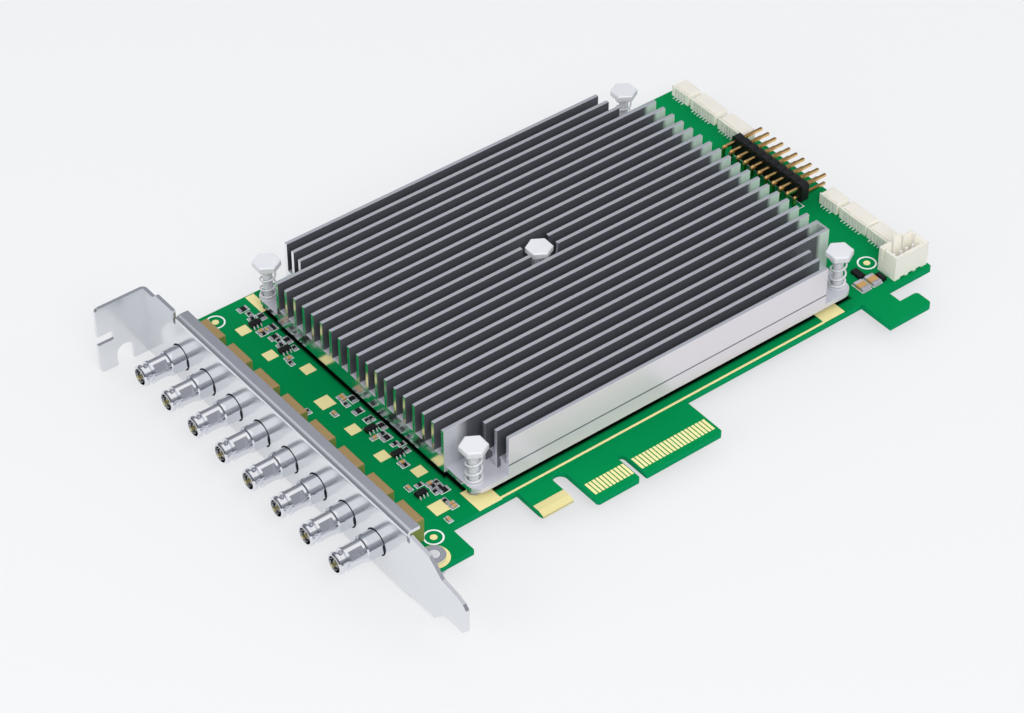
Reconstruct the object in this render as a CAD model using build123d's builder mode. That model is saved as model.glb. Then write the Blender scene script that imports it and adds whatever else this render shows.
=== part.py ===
"""Video capture card: a full-height slot card with eight coax inputs.

Frame: +X runs along the card from the slot bracket to the far end, +Y from the
card edge up to the bracket's screw tab, +Z out of the component side.
Origin: centre of the card edge's key notch, at the fingers' lower edge, on the
board's component face.  All sizes are in millimetres.
"""
import os

from build123d import *

# Circuit board
BOARD_T = 1.57
BOARD_LEFT = -56.0
BOARD_RIGHT = 97.8
BOARD_TOP = 102.0
MAIN_EDGE = 12.9
NEAR_TAB_RIGHT = -42.4
NEAR_TAB_EDGE = 4.7
EDGE_LEFT = -12.6
EDGE_RIGHT = 22.6
EDGE_CHAMFER = 0.5
KEY_HALF = 0.95
KEY_DEPTH = 8.3
GUIDE_LEFT = -24.6
GUIDE_RIGHT = -16.3
GUIDE_TIP = 3.8
GUIDE_BEVEL_L = 1.5
GUIDE_BEVEL_D = 0.5
NOTCH_TOP = 12.4
HOOK_LEFT = 75.8
HOOK_STEM = 7.6
HOOK_REACH = 5.3
HOOK_EDGE = 3.3
HOOK_TIP_H = 5.0
HOOK_R = 1.0
KEY_CORNER_R = 0.4

FINGER_PITCH = 1.0
FINGER_W = 0.7
FINGER_LOW = 1.8
FINGER_TOP = 5.65
FINGER_FIRST = 1.5
FINGERS_LEFT = 11
FINGERS_RIGHT = 21
PLATE_T = 0.05
GUIDE_PLATE_TOP = 7.25

# Slot bracket
SHEET = 0.86
FACE_X = -58.7
BRACKET_W = 18.42
BRACKET_L = 120.02
PLATE_LOW = -4.6
TAB_LOW = -5.2
TAB_Y = 106.02
TAB_REACH = 12.7
BEND_R = 1.3
SHOULDER_HIGH_Y = 99.9
SHOULDER_RISE = 0.78
FLANGE_Y0 = 6.0
FLANGE_Y1 = 92.1
FLANGE_REACH = 3.4
RELIEF_W = 1.0
RELIEF_H = 2.4
TONGUE_W = 10.19
TONGUE_RISE = 4.2
TONGUE_L = 7.4
TONGUE_TAPER_L = 3.7
TONGUE_LIP = 3.1
SCREW_SLOT_W = 4.42
SCREW_SLOT_X = -64.7
SCREW_SLOT_TOP = 0.2
PULL_NOTCH_Z = 4.1
PULL_NOTCH_W = 2.6
PULL_NOTCH_D = 4.0
EAR_W = 5.2
EAR_X = -50.4
EAR_YS = (8.0, 98.6)
EAR_HOLE_R = 1.6
EAR_SCREW_R = 1.25
EAR_SCREW_HEAD_R = 2.6
EAR_SCREW_HEAD_H = 1.7

# Coax jacks
JACKS = 8
JACK_Y = 91.0
JACK_PITCH = 10.57
JACK_Z = 2.6
JACK_HOLE_R = 3.35
BLOCK_W = 7.4
BLOCK_TOP = 6.6
BLOCK_FRONT_X = -57.5
BLOCK_STEP_X = -56.2
BLOCK_BACK_X = -49.0
BLOCK_SKIRT = 1.7
BARREL_BASE_R = 3.05
BARREL_BASE_L = 5.2
BARREL_FLAT = 2.75
BARREL_MID_R = 2.7
BARREL_MID_L = 4.6
PANEL_L = 3.4
PANEL_W = 2.2
PANEL_DEEP = 0.28
BARREL_NECK_R = 2.1
BARREL_NECK_L = 1.3
COLLAR_R = 2.55
MOUTH_X = -69.6
BORE_R = 1.95
BORE_DEPTH = 8.0
LUG_R = 0.45
INSULATOR_R = 1.35
INSULATOR_BORE_R = 0.42
INSULATOR_SET_BACK = 2.2
CONTACT_R = 0.4
CONTACT_SET_BACK = 1.0

# Heatsink
SINK_LEFT = -34.5
SINK_RIGHT = 76.0
SINK_FRONT = 15.3
SINK_GAP = 2.0
SINK_BASE_T = 4.0
SINK_HEIGHT = 11.8
EAR_T = 1.2
EAR_CORNER_R = 3.0
FINS = 25
FIN_PITCH = 3.42
FIN_T = 0.9
SHORT_FINS = 3
CORNER_CUT = 9.6
FIN_STEP = 0.5
EAR_SET_IN = 0.6
WEB_T = 0.5
WEB_FIN = 3
BOLT_INSET_X = 2.9
BOLT_INSET_FRONT = 3.5
BOLT_INSET_BACK = 2.5
MID_BOLT_X = 20.2
MID_BOLT_FIN = 10.5
POCKET_L = 7.6
BOLT_R = 1.15
BOLT_HOLE_R = 1.5
BOLT_HEAD_AF = 5.7
BOLT_HEAD_H = 1.5
BOLT_TOP = 13.6
BOLT_TURN = 28
NUT_AF = 4.0
NUT_H = 1.6
WASHER_R = 2.15
WASHER_T = 0.2
SPRING_R = 1.8
SPRING_WIRE = 0.44
SPRING_SIDES = 4
SPRING_TURNS = 4
SPRING_END = 0.3

# Chips under the heatsink
PROCESSOR_W = 27.0
PROCESSOR_T = 1.6
PROCESSOR_AT = (46.0, 57.4)
RECEIVER_W = 12.0
RECEIVER_T = 1.0
RECEIVER_X = -16.0
RECEIVER_PITCH = 18.0
MEMORY_W = 8.0
MEMORY_L = 13.5
MEMORY_T = 1.1
MEMORY_DX = 24.0
MEMORY_DY = 8.5
MEMORY_DROP = 16.0

# Two-row pin header
HEADER_COLS = 10
HEADER_PITCH = 2.54
HEADER_Y = 60.6
HEADER_X0 = 88.6
HEADER_T = 2.1
HEADER_LIFT = 1.0
HEADER_GROOVE = 0.7
HEADER_LOW_Z = 2.36
HEADER_TOP = 6.15
PIN_W = 0.64
PIN_BACK_X = 84.8
PIN_TIP_X = 97.1
PIN_BEND = 0.5
PIN_TAIL = 1.2
PIN_HOLE_R = 0.55

# Small side-entry connectors
WAFER_H = 2.95
WAFER_X0 = 93.0
WAFER_D = 4.2
WAFER_PITCH = 1.0
WAFER_END = 1.5
WAFER_WALL = 0.45
WAFER_CAVITY = 3.0
WAFER_TAIL = 0.9
WAFER_LEAD_W = 0.3
WAFER_LEAD_T = 0.2
WAFER_RIM = 0.4
WAFER_GROOVE_W = 0.3
WAFER_GROOVE_D = 0.3
WAFER_SLOT_W = 0.5
WAFER_SLOT_D = 0.4
WAFER_END_STEP = 0.3
WAFER_MOUTH_GAP = 0.8
WAFER_NAMES = ("a", "b", "c", "d", "e", "f")
WAFER_YS = (97.7, 89.2, 79.0, 43.5, 35.0, 25.5)
WAFER_WAYS = (4, 7, 7, 4, 7, 7)

# Box header
BOX_X0 = 87.1
BOX_Y0 = 14.2
BOX_L = 10.2
BOX_W = 5.7
BOX_H = 6.7
BOX_WALL = 0.7
BOX_FLOOR = 1.6
BOX_PINS = 4
BOX_PIN_PITCH = 2.0
BOX_PIN_W = 0.5
BOX_PIN_TOP = 5.2
BOX_TONGUE_W = 2.4
BOX_TONGUE_RISE = 1.2
BOX_SLOT_W = 0.6
FOOT_GAPS = 3
FOOT_GAP_PITCH = 2.53
FOOT_GAP_W = 1.6
FOOT_GAP_H = 0.45

# Small parts on the board
SOT_L = 2.9
SOT_W = 1.6
SOT_H = 1.1
SOT_LEAD_W = 0.4
SOT_SPREAD = 2.8
SOT_LEAD_PITCH = 0.95
SOT_LEAD_H = 0.25
SOT_LIFT = 0.1
SOT_AT = ((-37.9, 92.3), (-37.8, 80.8), (-37.9, 47.75), (-37.9, 37.8), (-41.35, 24.7))
CHIP_L = 1.5
CHIP_W = 0.75
CHIP_END = 0.32
WIDE_CHIP_L = 2.1
WIDE_CHIP_W = 1.25
WIDE_CHIP_END = 0.42
RESISTOR_H = 0.4
CAPACITOR_H = 0.5
END_LIFT = 0.02
RESISTOR_X_AT = (
    (-37.3, 94.55), (-38.2, 88.6), (-35.3, 89.7), (-35.3, 88.7), (-37.3, 83.1), (-36.6, 45.3),
    (-36.35, 41.0), (-35.2, 40.05), (-38.65, 34.2), (-39.9, 27.35), (-37.8, 25.2), (-36.8, 24.2),
)
RESISTOR_Y_AT = (
    (-36.8, 96.2), (-36.8, 84.5), (-35.4, 80.35), (-39.0, 76.65), (-37.25, 57.9), (-36.7, 50.75),
    (-35.55, 50.75), (-35.4, 37.95), (-36.4, 25.7), (-38.4, 23.6), (-38.4, 20.0), (-45.3, 61.2),
)
WIDE_X_AT = ((-37.05, 98.55), (-36.9, 86.1), (-36.5, 54.4), (-36.65, 43.7), (-36.6, 22.9))
WIDE_Y_AT = ((-35.15, 93.85), (-35.2, 83.5), (-35.15, 58.4), (-35.2, 47.4))
CAPACITOR_X_AT = (
    (-38.2, 89.7), (-38.45, 78.3), (-36.7, 60.6), (-36.7, 59.6), (-38.7, 45.25), (-38.65, 35.25),
    (-37.95, 26.3), (-37.95, 18.5), (-37.95, 17.5),
)
CAPACITOR_Y_AT = ((-36.8, 89.2), (-41.1, 56.9), (-42.3, 27.9), (-41.3, 15.0))
BIG_CAP_L = 3.2
BIG_CAP_W = 2.4
BIG_CAP_H = 0.8
BIG_CAP_END = 0.8
BIG_CAP_AT = ((79.9, 17.4), (83.3, 17.4))
SUPPRESSOR_H = 0.9
LARGE_SUPPRESSOR = (82.0, 21.05, 1.75, 3.1)
SMALL_SUPPRESSOR = (85.5, 17.0, 1.2, 2.6)
SQUARE_PAD = 2.9
SQUARE_PAD_AT = (
    (-41.06, 92.43), (-41.15, 81.7), (-37.15, 72.67), (-40.8, 50.33), (-40.76, 39.58), (-37.3, 30.85),
)
LARGE_PAD = 3.7
LARGE_PAD_AT = ((-40.55, 61.3), (-40.76, 19.24))
FIDUCIAL_R = 0.83
FIDUCIAL_AT = ((-46.95, 12.8), (-44.5, 98.7), (86.67, 23.0))
EARTH_LINE_Y = 13.5
EARTH_LINE_W = 0.6
NEAR_PAD = (-34.5, -28.4, 13.0, 20.0)
NEAR_PAD_CUT = 2.4
FAR_PAD = (64.6, 70.9, 13.3, 16.9)
BACK_PAD = (-34.3, -32.0, 95.0, 101.7)

# Worked-out sizes
HOOK_NECK = HOOK_LEFT + HOOK_STEM
HOOK_RIGHT = HOOK_NECK + HOOK_REACH
HOOK_TIP = HOOK_EDGE + HOOK_TIP_H
GUIDE_FLAT_Y = GUIDE_TIP + GUIDE_BEVEL_L
BASE_TOP = SINK_GAP + SINK_BASE_T
FIN_TOP = SINK_GAP + SINK_HEIGHT
SINK_BACK = SINK_FRONT + (FINS - 1) * FIN_PITCH + FIN_T
SINK_L = SINK_RIGHT - SINK_LEFT
SINK_W = SINK_BACK - SINK_FRONT
CORNER_DEPTH = SHORT_FINS * FIN_PITCH
JACK_YS = [JACK_Y - i * JACK_PITCH for i in range(JACKS)]
BACK_X = FACE_X + SHEET
PLATE_TOP = PLATE_LOW + BRACKET_W
TAB_TOP = TAB_LOW + BRACKET_W
TIP_Y = TAB_Y - BRACKET_L
TONGUE_LOW = PLATE_LOW + TONGUE_RISE
TONGUE_TOP = TONGUE_LOW + TONGUE_W
TAPER_END_Y = TIP_Y + TONGUE_L + TONGUE_TAPER_L
BOLT_XS = (SINK_LEFT + BOLT_INSET_X, SINK_RIGHT - BOLT_INSET_X)
BOLT_YS = (SINK_FRONT + BOLT_INSET_FRONT, SINK_BACK - BOLT_INSET_BACK)
CORNER_BOLTS = [(x, y) for x in BOLT_XS for y in BOLT_YS]
MID_BOLT = (MID_BOLT_X, SINK_FRONT + FIN_T / 2 + (FINS - 1 - MID_BOLT_FIN) * FIN_PITCH)
BOLTS = CORNER_BOLTS + [MID_BOLT]
EAR_TOP = SINK_GAP + EAR_T
HEAD_LOW = BOLT_TOP - BOLT_HEAD_H
HEADER_L = HEADER_COLS * HEADER_PITCH
HEADER_YS = [HEADER_Y + (i - (HEADER_COLS - 1) / 2) * HEADER_PITCH for i in range(HEADER_COLS)]
ROW_X = (PIN_BACK_X + HEADER_PITCH, PIN_BACK_X)
ROW_Z = (HEADER_LOW_Z, HEADER_LOW_Z + HEADER_PITCH)
BOX_X = BOX_X0 + BOX_L / 2
BOX_Y = BOX_Y0 + BOX_W / 2
BOX_PIN_XS = [BOX_X + (i - (BOX_PINS - 1) / 2) * BOX_PIN_PITCH for i in range(BOX_PINS)]
FINGER_XS = [-FINGER_FIRST - i * FINGER_PITCH for i in range(FINGERS_LEFT)]
FINGER_XS += [FINGER_FIRST + i * FINGER_PITCH for i in range(FINGERS_RIGHT)]
WAFERS = list(zip(WAFER_NAMES, WAFER_YS, WAFER_WAYS))
RECEIVER_YS = [PROCESSOR_AT[1] + (i - 1.5) * RECEIVER_PITCH for i in range(4)]
MEMORY_AT = [(PROCESSOR_AT[0] - MEMORY_DX, PROCESSOR_AT[1] + s * MEMORY_DY - MEMORY_DROP) for s in (-1, 1)]

os.makedirs("parts", exist_ok=True)


def keep(builder, name):
    """Label a finished piece and write it as one file."""
    builder.part.label = name
    export_step(builder.part, f"parts/{name}.step")


def between(x0, x1, y0, y1):
    """A rectangle given by its sides, in the open sketch."""
    with Locations(((x0 + x1) / 2, (y0 + y1) / 2)):
        return Rectangle(abs(x1 - x0), abs(y1 - y0))


def slab(x0, x1, y0, y1, z0, z1, mode=Mode.ADD):
    """A block given by its faces, in the open part."""
    with Locations(((x0 + x1) / 2, (y0 + y1) / 2, (z0 + z1) / 2)):
        return Box(abs(x1 - x0), abs(y1 - y0), abs(z1 - z0), mode=mode)


# Circuit board
with BuildPart() as board:
    with BuildSketch(Plane.XY.offset(-BOARD_T)):
        between(BOARD_LEFT, BOARD_RIGHT, MAIN_EDGE, BOARD_TOP)
        between(BOARD_LEFT, NEAR_TAB_RIGHT, NEAR_TAB_EDGE, MAIN_EDGE + 1)
        between(GUIDE_LEFT, GUIDE_RIGHT, GUIDE_TIP, MAIN_EDGE + 1)
        with BuildLine():
            Polyline(
                (EDGE_LEFT, MAIN_EDGE + 1), (EDGE_LEFT, EDGE_CHAMFER), (EDGE_LEFT + EDGE_CHAMFER, 0),
                (EDGE_RIGHT - EDGE_CHAMFER, 0), (EDGE_RIGHT, EDGE_CHAMFER), (EDGE_RIGHT, MAIN_EDGE + 1),
                close=True,
            )
        make_face()
        between(HOOK_LEFT, HOOK_NECK, HOOK_EDGE, MAIN_EDGE + 1)
        between(HOOK_NECK, HOOK_RIGHT, HOOK_EDGE, HOOK_TIP)
        notch_r = (EDGE_LEFT - GUIDE_RIGHT) / 2
        between(GUIDE_RIGHT - 1, EDGE_LEFT + 1, NOTCH_TOP - notch_r, MAIN_EDGE + 1)
        with Locations(((EDGE_LEFT + GUIDE_RIGHT) / 2, NOTCH_TOP - notch_r)):
            Circle(notch_r, mode=Mode.SUBTRACT)
        with Locations((0, (KEY_DEPTH - KEY_HALF) / 2 - 1)):
            Rectangle(2 * KEY_HALF, KEY_DEPTH - KEY_HALF + 2, mode=Mode.SUBTRACT)
        with Locations((0, KEY_DEPTH - KEY_HALF)):
            Circle(KEY_HALF, mode=Mode.SUBTRACT)
        with Locations(*[(EAR_X, y) for y in EAR_YS]):
            Circle(EAR_HOLE_R, mode=Mode.SUBTRACT)
        with Locations(*BOLTS):
            Circle(BOLT_HOLE_R, mode=Mode.SUBTRACT)
        with Locations(*[(x, y) for x in ROW_X for y in HEADER_YS]):
            Circle(PIN_HOLE_R, mode=Mode.SUBTRACT)
        with Locations(*[(x, BOX_Y) for x in BOX_PIN_XS]):
            Circle(PIN_HOLE_R, mode=Mode.SUBTRACT)
    extrude(amount=BOARD_T)
    corners = board.edges().filter_by(Axis.Z)
    hook_tips = [e for e in corners if e.center().X > HOOK_RIGHT - 0.1 and e.center().Y < HOOK_TIP + 0.1
                 and e.center().X < HOOK_RIGHT + 0.1]
    fillet(hook_tips, HOOK_R)
    key_corners = [e for e in board.edges().filter_by(Axis.Z) if abs(abs(e.center().X) - KEY_HALF) < 0.01
                   and abs(e.center().Y) < 0.01]
    fillet(key_corners, KEY_CORNER_R)
    with BuildSketch(Plane.YZ.offset(GUIDE_LEFT - 1)):
        for face, out in ((0, 1), (-BOARD_T, -1)):
            with BuildLine():
                Polyline(
                    (GUIDE_FLAT_Y, face), (GUIDE_TIP, face - out * GUIDE_BEVEL_D),
                    (GUIDE_TIP - 1, face - out * GUIDE_BEVEL_D), (GUIDE_TIP - 1, face + out),
                    (GUIDE_FLAT_Y, face + out), close=True,
                )
            make_face()
    extrude(amount=GUIDE_RIGHT - GUIDE_LEFT + 2, mode=Mode.SUBTRACT)
    board_ends = [e for e in board.edges().filter_by(Axis.Z) if e.center().X > BOARD_RIGHT - 0.1]
    fillet(board_ends, 0.6)
keep(board, "board")

with BuildPart() as edge_fingers:
    finger_mid = (FINGER_LOW + FINGER_TOP) / 2
    for face in (PLATE_T / 2, -BOARD_T - PLATE_T / 2):
        with Locations(*[(x, finger_mid, face) for x in FINGER_XS]):
            Box(FINGER_W, FINGER_TOP - FINGER_LOW, PLATE_T)
keep(edge_fingers, "edge_fingers")

with BuildPart() as guide_plating:
    with BuildSketch(Plane.YZ.offset(GUIDE_LEFT)):
        with BuildLine():
            Polyline(
                (GUIDE_PLATE_TOP, 0), (GUIDE_FLAT_Y, 0), (GUIDE_TIP, -GUIDE_BEVEL_D),
                (GUIDE_TIP, GUIDE_BEVEL_D - BOARD_T), (GUIDE_FLAT_Y, -BOARD_T), (GUIDE_PLATE_TOP, -BOARD_T),
                (GUIDE_PLATE_TOP, -BOARD_T - PLATE_T), (GUIDE_FLAT_Y - PLATE_T / 3, -BOARD_T - PLATE_T),
                (GUIDE_TIP - PLATE_T, GUIDE_BEVEL_D - BOARD_T - PLATE_T / 2),
                (GUIDE_TIP - PLATE_T, PLATE_T / 2 - GUIDE_BEVEL_D), (GUIDE_FLAT_Y - PLATE_T / 3, PLATE_T),
                (GUIDE_PLATE_TOP, PLATE_T), close=True,
            )
        make_face()
    extrude(amount=GUIDE_RIGHT - GUIDE_LEFT)
keep(guide_plating, "guide_plating")

with BuildPart() as solder_pads:
    with BuildSketch(Plane.XY):
        with Locations(*SQUARE_PAD_AT):
            Rectangle(SQUARE_PAD, SQUARE_PAD)
        with Locations(*LARGE_PAD_AT):
            Rectangle(LARGE_PAD, LARGE_PAD)
        with Locations(*FIDUCIAL_AT):
            Circle(FIDUCIAL_R)
        with Locations(*[(EAR_X, y) for y in EAR_YS]):
            Circle(EAR_W / 2 + 0.9)
            Circle(EAR_HOLE_R, mode=Mode.SUBTRACT)
        between(NEAR_PAD[1], FAR_PAD[0], EARTH_LINE_Y - EARTH_LINE_W / 2, EARTH_LINE_Y + EARTH_LINE_W / 2)
        with BuildLine():
            Polyline(
                (NEAR_PAD[0], NEAR_PAD[2]), (NEAR_PAD[1], NEAR_PAD[2]), (NEAR_PAD[1], NEAR_PAD[3] - NEAR_PAD_CUT),
                (NEAR_PAD[1] - NEAR_PAD_CUT, NEAR_PAD[3]), (NEAR_PAD[0], NEAR_PAD[3]), close=True,
            )
        make_face()
        between(*FAR_PAD)
        between(*BACK_PAD)
        with Locations(*BOLTS):
            Circle(BOLT_HOLE_R, mode=Mode.SUBTRACT)
    extrude(amount=PLATE_T)
keep(solder_pads, "solder_pads")

# Slot bracket
with BuildPart() as bracket:
    with BuildSketch(Plane.XY.offset(TAB_LOW - 1)):
        with BuildLine():
            Polyline(
                (BACK_X, TIP_Y), (BACK_X, TAB_Y), (FACE_X - TAB_REACH, TAB_Y),
                (FACE_X - TAB_REACH, TAB_Y - SHEET), (FACE_X, TAB_Y - SHEET), (FACE_X, TIP_Y), close=True,
            )
        sheet_profile = make_face()
        fillet(sheet_profile.vertices().sort_by_distance((BACK_X, TAB_Y, 0))[0], BEND_R)
        fillet(sheet_profile.vertices().sort_by_distance((FACE_X, TAB_Y - SHEET, 0))[0], BEND_R - SHEET)
    extrude(amount=BRACKET_W + 5)
    slope = 1.4
    relief_mid = FLANGE_Y1 + RELIEF_W / 2
    with BuildSketch(Plane.YZ.offset(FACE_X - TAB_REACH - 1)):
        with BuildLine():
            Polyline(
                (TAB_Y + 1, TAB_LOW), (JACK_Y + 5.4, TAB_LOW), (JACK_Y + 4.8, PLATE_LOW),
                (TAPER_END_Y + 8.2, PLATE_LOW), (TAPER_END_Y + 8.2, PLATE_LOW + 0.7), (TAPER_END_Y, PLATE_LOW + 0.7),
                (TIP_Y + TONGUE_L, TONGUE_LOW), (TIP_Y + slope, TONGUE_LOW), (TIP_Y, TONGUE_LOW + slope),
                (TIP_Y, TONGUE_TOP - TONGUE_LIP + 0.2), (TIP_Y + 1.1, TONGUE_TOP - TONGUE_LIP / 2 - 0.25),
                (TIP_Y + TONGUE_LIP, TONGUE_TOP - 1.1), (TIP_Y + TONGUE_L + 0.7, TONGUE_TOP - 0.4),
                (TAPER_END_Y + 1.3, PLATE_TOP - 1.0), (FLANGE_Y0 - RELIEF_W / 2, PLATE_TOP - 0.2),
                (FLANGE_Y0 - RELIEF_W / 2, PLATE_TOP - BEND_R - 0.5), (relief_mid, PLATE_TOP - BEND_R - 0.5),
                (relief_mid, PLATE_TOP + SHOULDER_RISE),
                (SHOULDER_HIGH_Y, PLATE_TOP + SHOULDER_RISE), (SHOULDER_HIGH_Y + slope, TAB_TOP),
                (TAB_Y + 1, TAB_TOP), close=True,
            )
        make_face()
        with Locations(*[(y, JACK_Z) for y in JACK_YS]):
            Circle(JACK_HOLE_R, mode=Mode.SUBTRACT)
        for end in (FLANGE_Y0 - RELIEF_W / 2, FLANGE_Y1 + RELIEF_W / 2):
            with Locations((end, PLATE_TOP)):
                Rectangle(RELIEF_W, 2 * RELIEF_H, mode=Mode.SUBTRACT)
    extrude(amount=TAB_REACH + SHEET + 2, mode=Mode.INTERSECT)
    with BuildSketch(Plane.XZ.offset(-FLANGE_Y0)):
        with BuildLine():
            Polyline(
                (FACE_X, PLATE_TOP - 4), (FACE_X, PLATE_TOP), (FACE_X + FLANGE_REACH, PLATE_TOP),
                (FACE_X + FLANGE_REACH, PLATE_TOP - SHEET), (BACK_X, PLATE_TOP - SHEET), (BACK_X, PLATE_TOP - 4),
                close=True,
            )
        flange_profile = make_face()
        fillet(flange_profile.vertices().sort_by_distance((FACE_X, PLATE_TOP, 0))[0], BEND_R)
    extrude(amount=-(FLANGE_Y1 - FLANGE_Y0))
    with BuildSketch(Plane.XY.offset(PLATE_T)):
        for y in EAR_YS:
            between(BACK_X - 0.1, EAR_X, y - EAR_W / 2, y + EAR_W / 2)
            with Locations((EAR_X, y)):
                Circle(EAR_W / 2)
        with Locations(*[(EAR_X, y) for y in EAR_YS]):
            Circle(EAR_SCREW_R, mode=Mode.SUBTRACT)
    extrude(amount=SHEET)
    with BuildSketch(Plane.XZ.offset(-TAB_Y - 1)):
        between(FACE_X - TAB_REACH - 1, FACE_X - TAB_REACH + PULL_NOTCH_D,
                PULL_NOTCH_Z - PULL_NOTCH_W / 2, PULL_NOTCH_Z + PULL_NOTCH_W / 2)
        between(SCREW_SLOT_X - SCREW_SLOT_W / 2, SCREW_SLOT_X + SCREW_SLOT_W / 2,
                TAB_LOW - 1, SCREW_SLOT_TOP - SCREW_SLOT_W / 2)
        with Locations((SCREW_SLOT_X, SCREW_SLOT_TOP - SCREW_SLOT_W / 2)):
            Circle(SCREW_SLOT_W / 2)
    extrude(amount=SHEET + 2, mode=Mode.SUBTRACT)
    tab_corners = [e for e in bracket.edges().filter_by(Axis.Y) if e.center().X < FACE_X - TAB_REACH + 0.1
                   and abs(e.center().Z - PULL_NOTCH_Z) > PULL_NOTCH_W]
    fillet(tab_corners, 1.2)
keep(bracket, "bracket")

with BuildPart() as bracket_screws:
    for y in EAR_YS:
        with Locations((EAR_X, y, SHEET + PLATE_T)):
            Cylinder(EAR_SCREW_R, SHEET + PLATE_T + BOARD_T + 0.2, align=(Align.CENTER, Align.CENTER, Align.MAX))
        with Locations((EAR_X, y, -BOARD_T)):
            Cylinder(EAR_SCREW_HEAD_R, EAR_SCREW_HEAD_H, align=(Align.CENTER, Align.CENTER, Align.MAX))
        with Locations((EAR_X, y, -BOARD_T - EAR_SCREW_HEAD_H)):
            Box(0.6, 2.6, 1.4, mode=Mode.SUBTRACT)
            Box(2.6, 0.6, 1.4, mode=Mode.SUBTRACT)
keep(bracket_screws, "bracket_screws")

# Coax jacks
for i, jack_y in enumerate(JACK_YS):
    with BuildPart() as coax_block:
        with BuildSketch(Plane.XZ.offset(-(jack_y - BLOCK_W / 2))):
            with BuildLine():
                Polyline(
                    (BLOCK_FRONT_X, -BLOCK_SKIRT), (BLOCK_STEP_X, -BLOCK_SKIRT), (BLOCK_STEP_X, 0),
                    (BLOCK_BACK_X, 0), (BLOCK_BACK_X, BLOCK_TOP), (BLOCK_FRONT_X, BLOCK_TOP), close=True,
                )
            make_face()
        extrude(amount=-BLOCK_W)
        chamfer(coax_block.edges().group_by(Axis.Z)[-1], 0.3)
    keep(coax_block, f"coax_block_{i + 1}")

    with BuildPart() as coax_barrel:
        neck_x = BLOCK_FRONT_X - BARREL_BASE_L - BARREL_MID_L
        collar_x = neck_x - BARREL_NECK_L
        base_x = BLOCK_FRONT_X - BARREL_BASE_L
        with BuildSketch(Plane.XY.offset(JACK_Z)):
            with BuildLine():
                Polyline(
                    (MOUTH_X + BORE_DEPTH, jack_y), (BLOCK_FRONT_X, jack_y), (BLOCK_FRONT_X, jack_y + BARREL_BASE_R),
                    (base_x + 0.3, jack_y + BARREL_BASE_R), (base_x, jack_y + BARREL_MID_R), (neck_x, jack_y + BARREL_MID_R),
                    (neck_x, jack_y + BARREL_NECK_R), (collar_x, jack_y + BARREL_NECK_R),
                    (collar_x, jack_y + COLLAR_R), (MOUTH_X + 0.35, jack_y + COLLAR_R),
                    (MOUTH_X, jack_y + COLLAR_R - 0.35), (MOUTH_X, jack_y + BORE_R),
                    (MOUTH_X + BORE_DEPTH, jack_y + BORE_R), close=True,
                )
            make_face()
        revolve(axis=Axis((0, jack_y, JACK_Z), (1, 0, 0)))
        for side in (-1, 1):
            face_y = jack_y + side * BARREL_FLAT
            slab(base_x, BLOCK_FRONT_X, face_y, face_y + side, JACK_Z - BARREL_BASE_R, JACK_Z + BARREL_BASE_R,
                 Mode.SUBTRACT)
        for turn in (45, 135, 225, 315):
            with Locations(Location(((base_x + neck_x) / 2, jack_y, JACK_Z), (turn, 0, 0))):
                with Locations((0, 0, BARREL_MID_R)):
                    Box(PANEL_L, PANEL_W, 2 * PANEL_DEEP, mode=Mode.SUBTRACT)
        with Locations(((neck_x + collar_x) / 2, jack_y, JACK_Z + BARREL_NECK_R),
                       ((neck_x + collar_x) / 2, jack_y, JACK_Z - BARREL_NECK_R)):
            Cylinder(LUG_R, 1.3)
    keep(coax_barrel, f"coax_barrel_{i + 1}")

INSULATOR_X = MOUTH_X + INSULATOR_SET_BACK
BORE_END_X = MOUTH_X + BORE_DEPTH
with BuildPart() as coax_insulators:
    for jack_y in JACK_YS:
        with BuildSketch(Plane.YZ.offset(INSULATOR_X)):
            with Locations((jack_y, JACK_Z)):
                Circle(INSULATOR_R)
                Circle(INSULATOR_BORE_R, mode=Mode.SUBTRACT)
    extrude(amount=BORE_END_X - INSULATOR_X)
keep(coax_insulators, "coax_insulators")

with BuildPart() as coax_contacts:
    for jack_y in JACK_YS:
        with BuildSketch(Plane.YZ.offset(MOUTH_X + CONTACT_SET_BACK)):
            with Locations((jack_y, JACK_Z)):
                Circle(CONTACT_R)
    extrude(amount=BORE_END_X - MOUTH_X - CONTACT_SET_BACK)
keep(coax_contacts, "coax_contacts")

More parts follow.
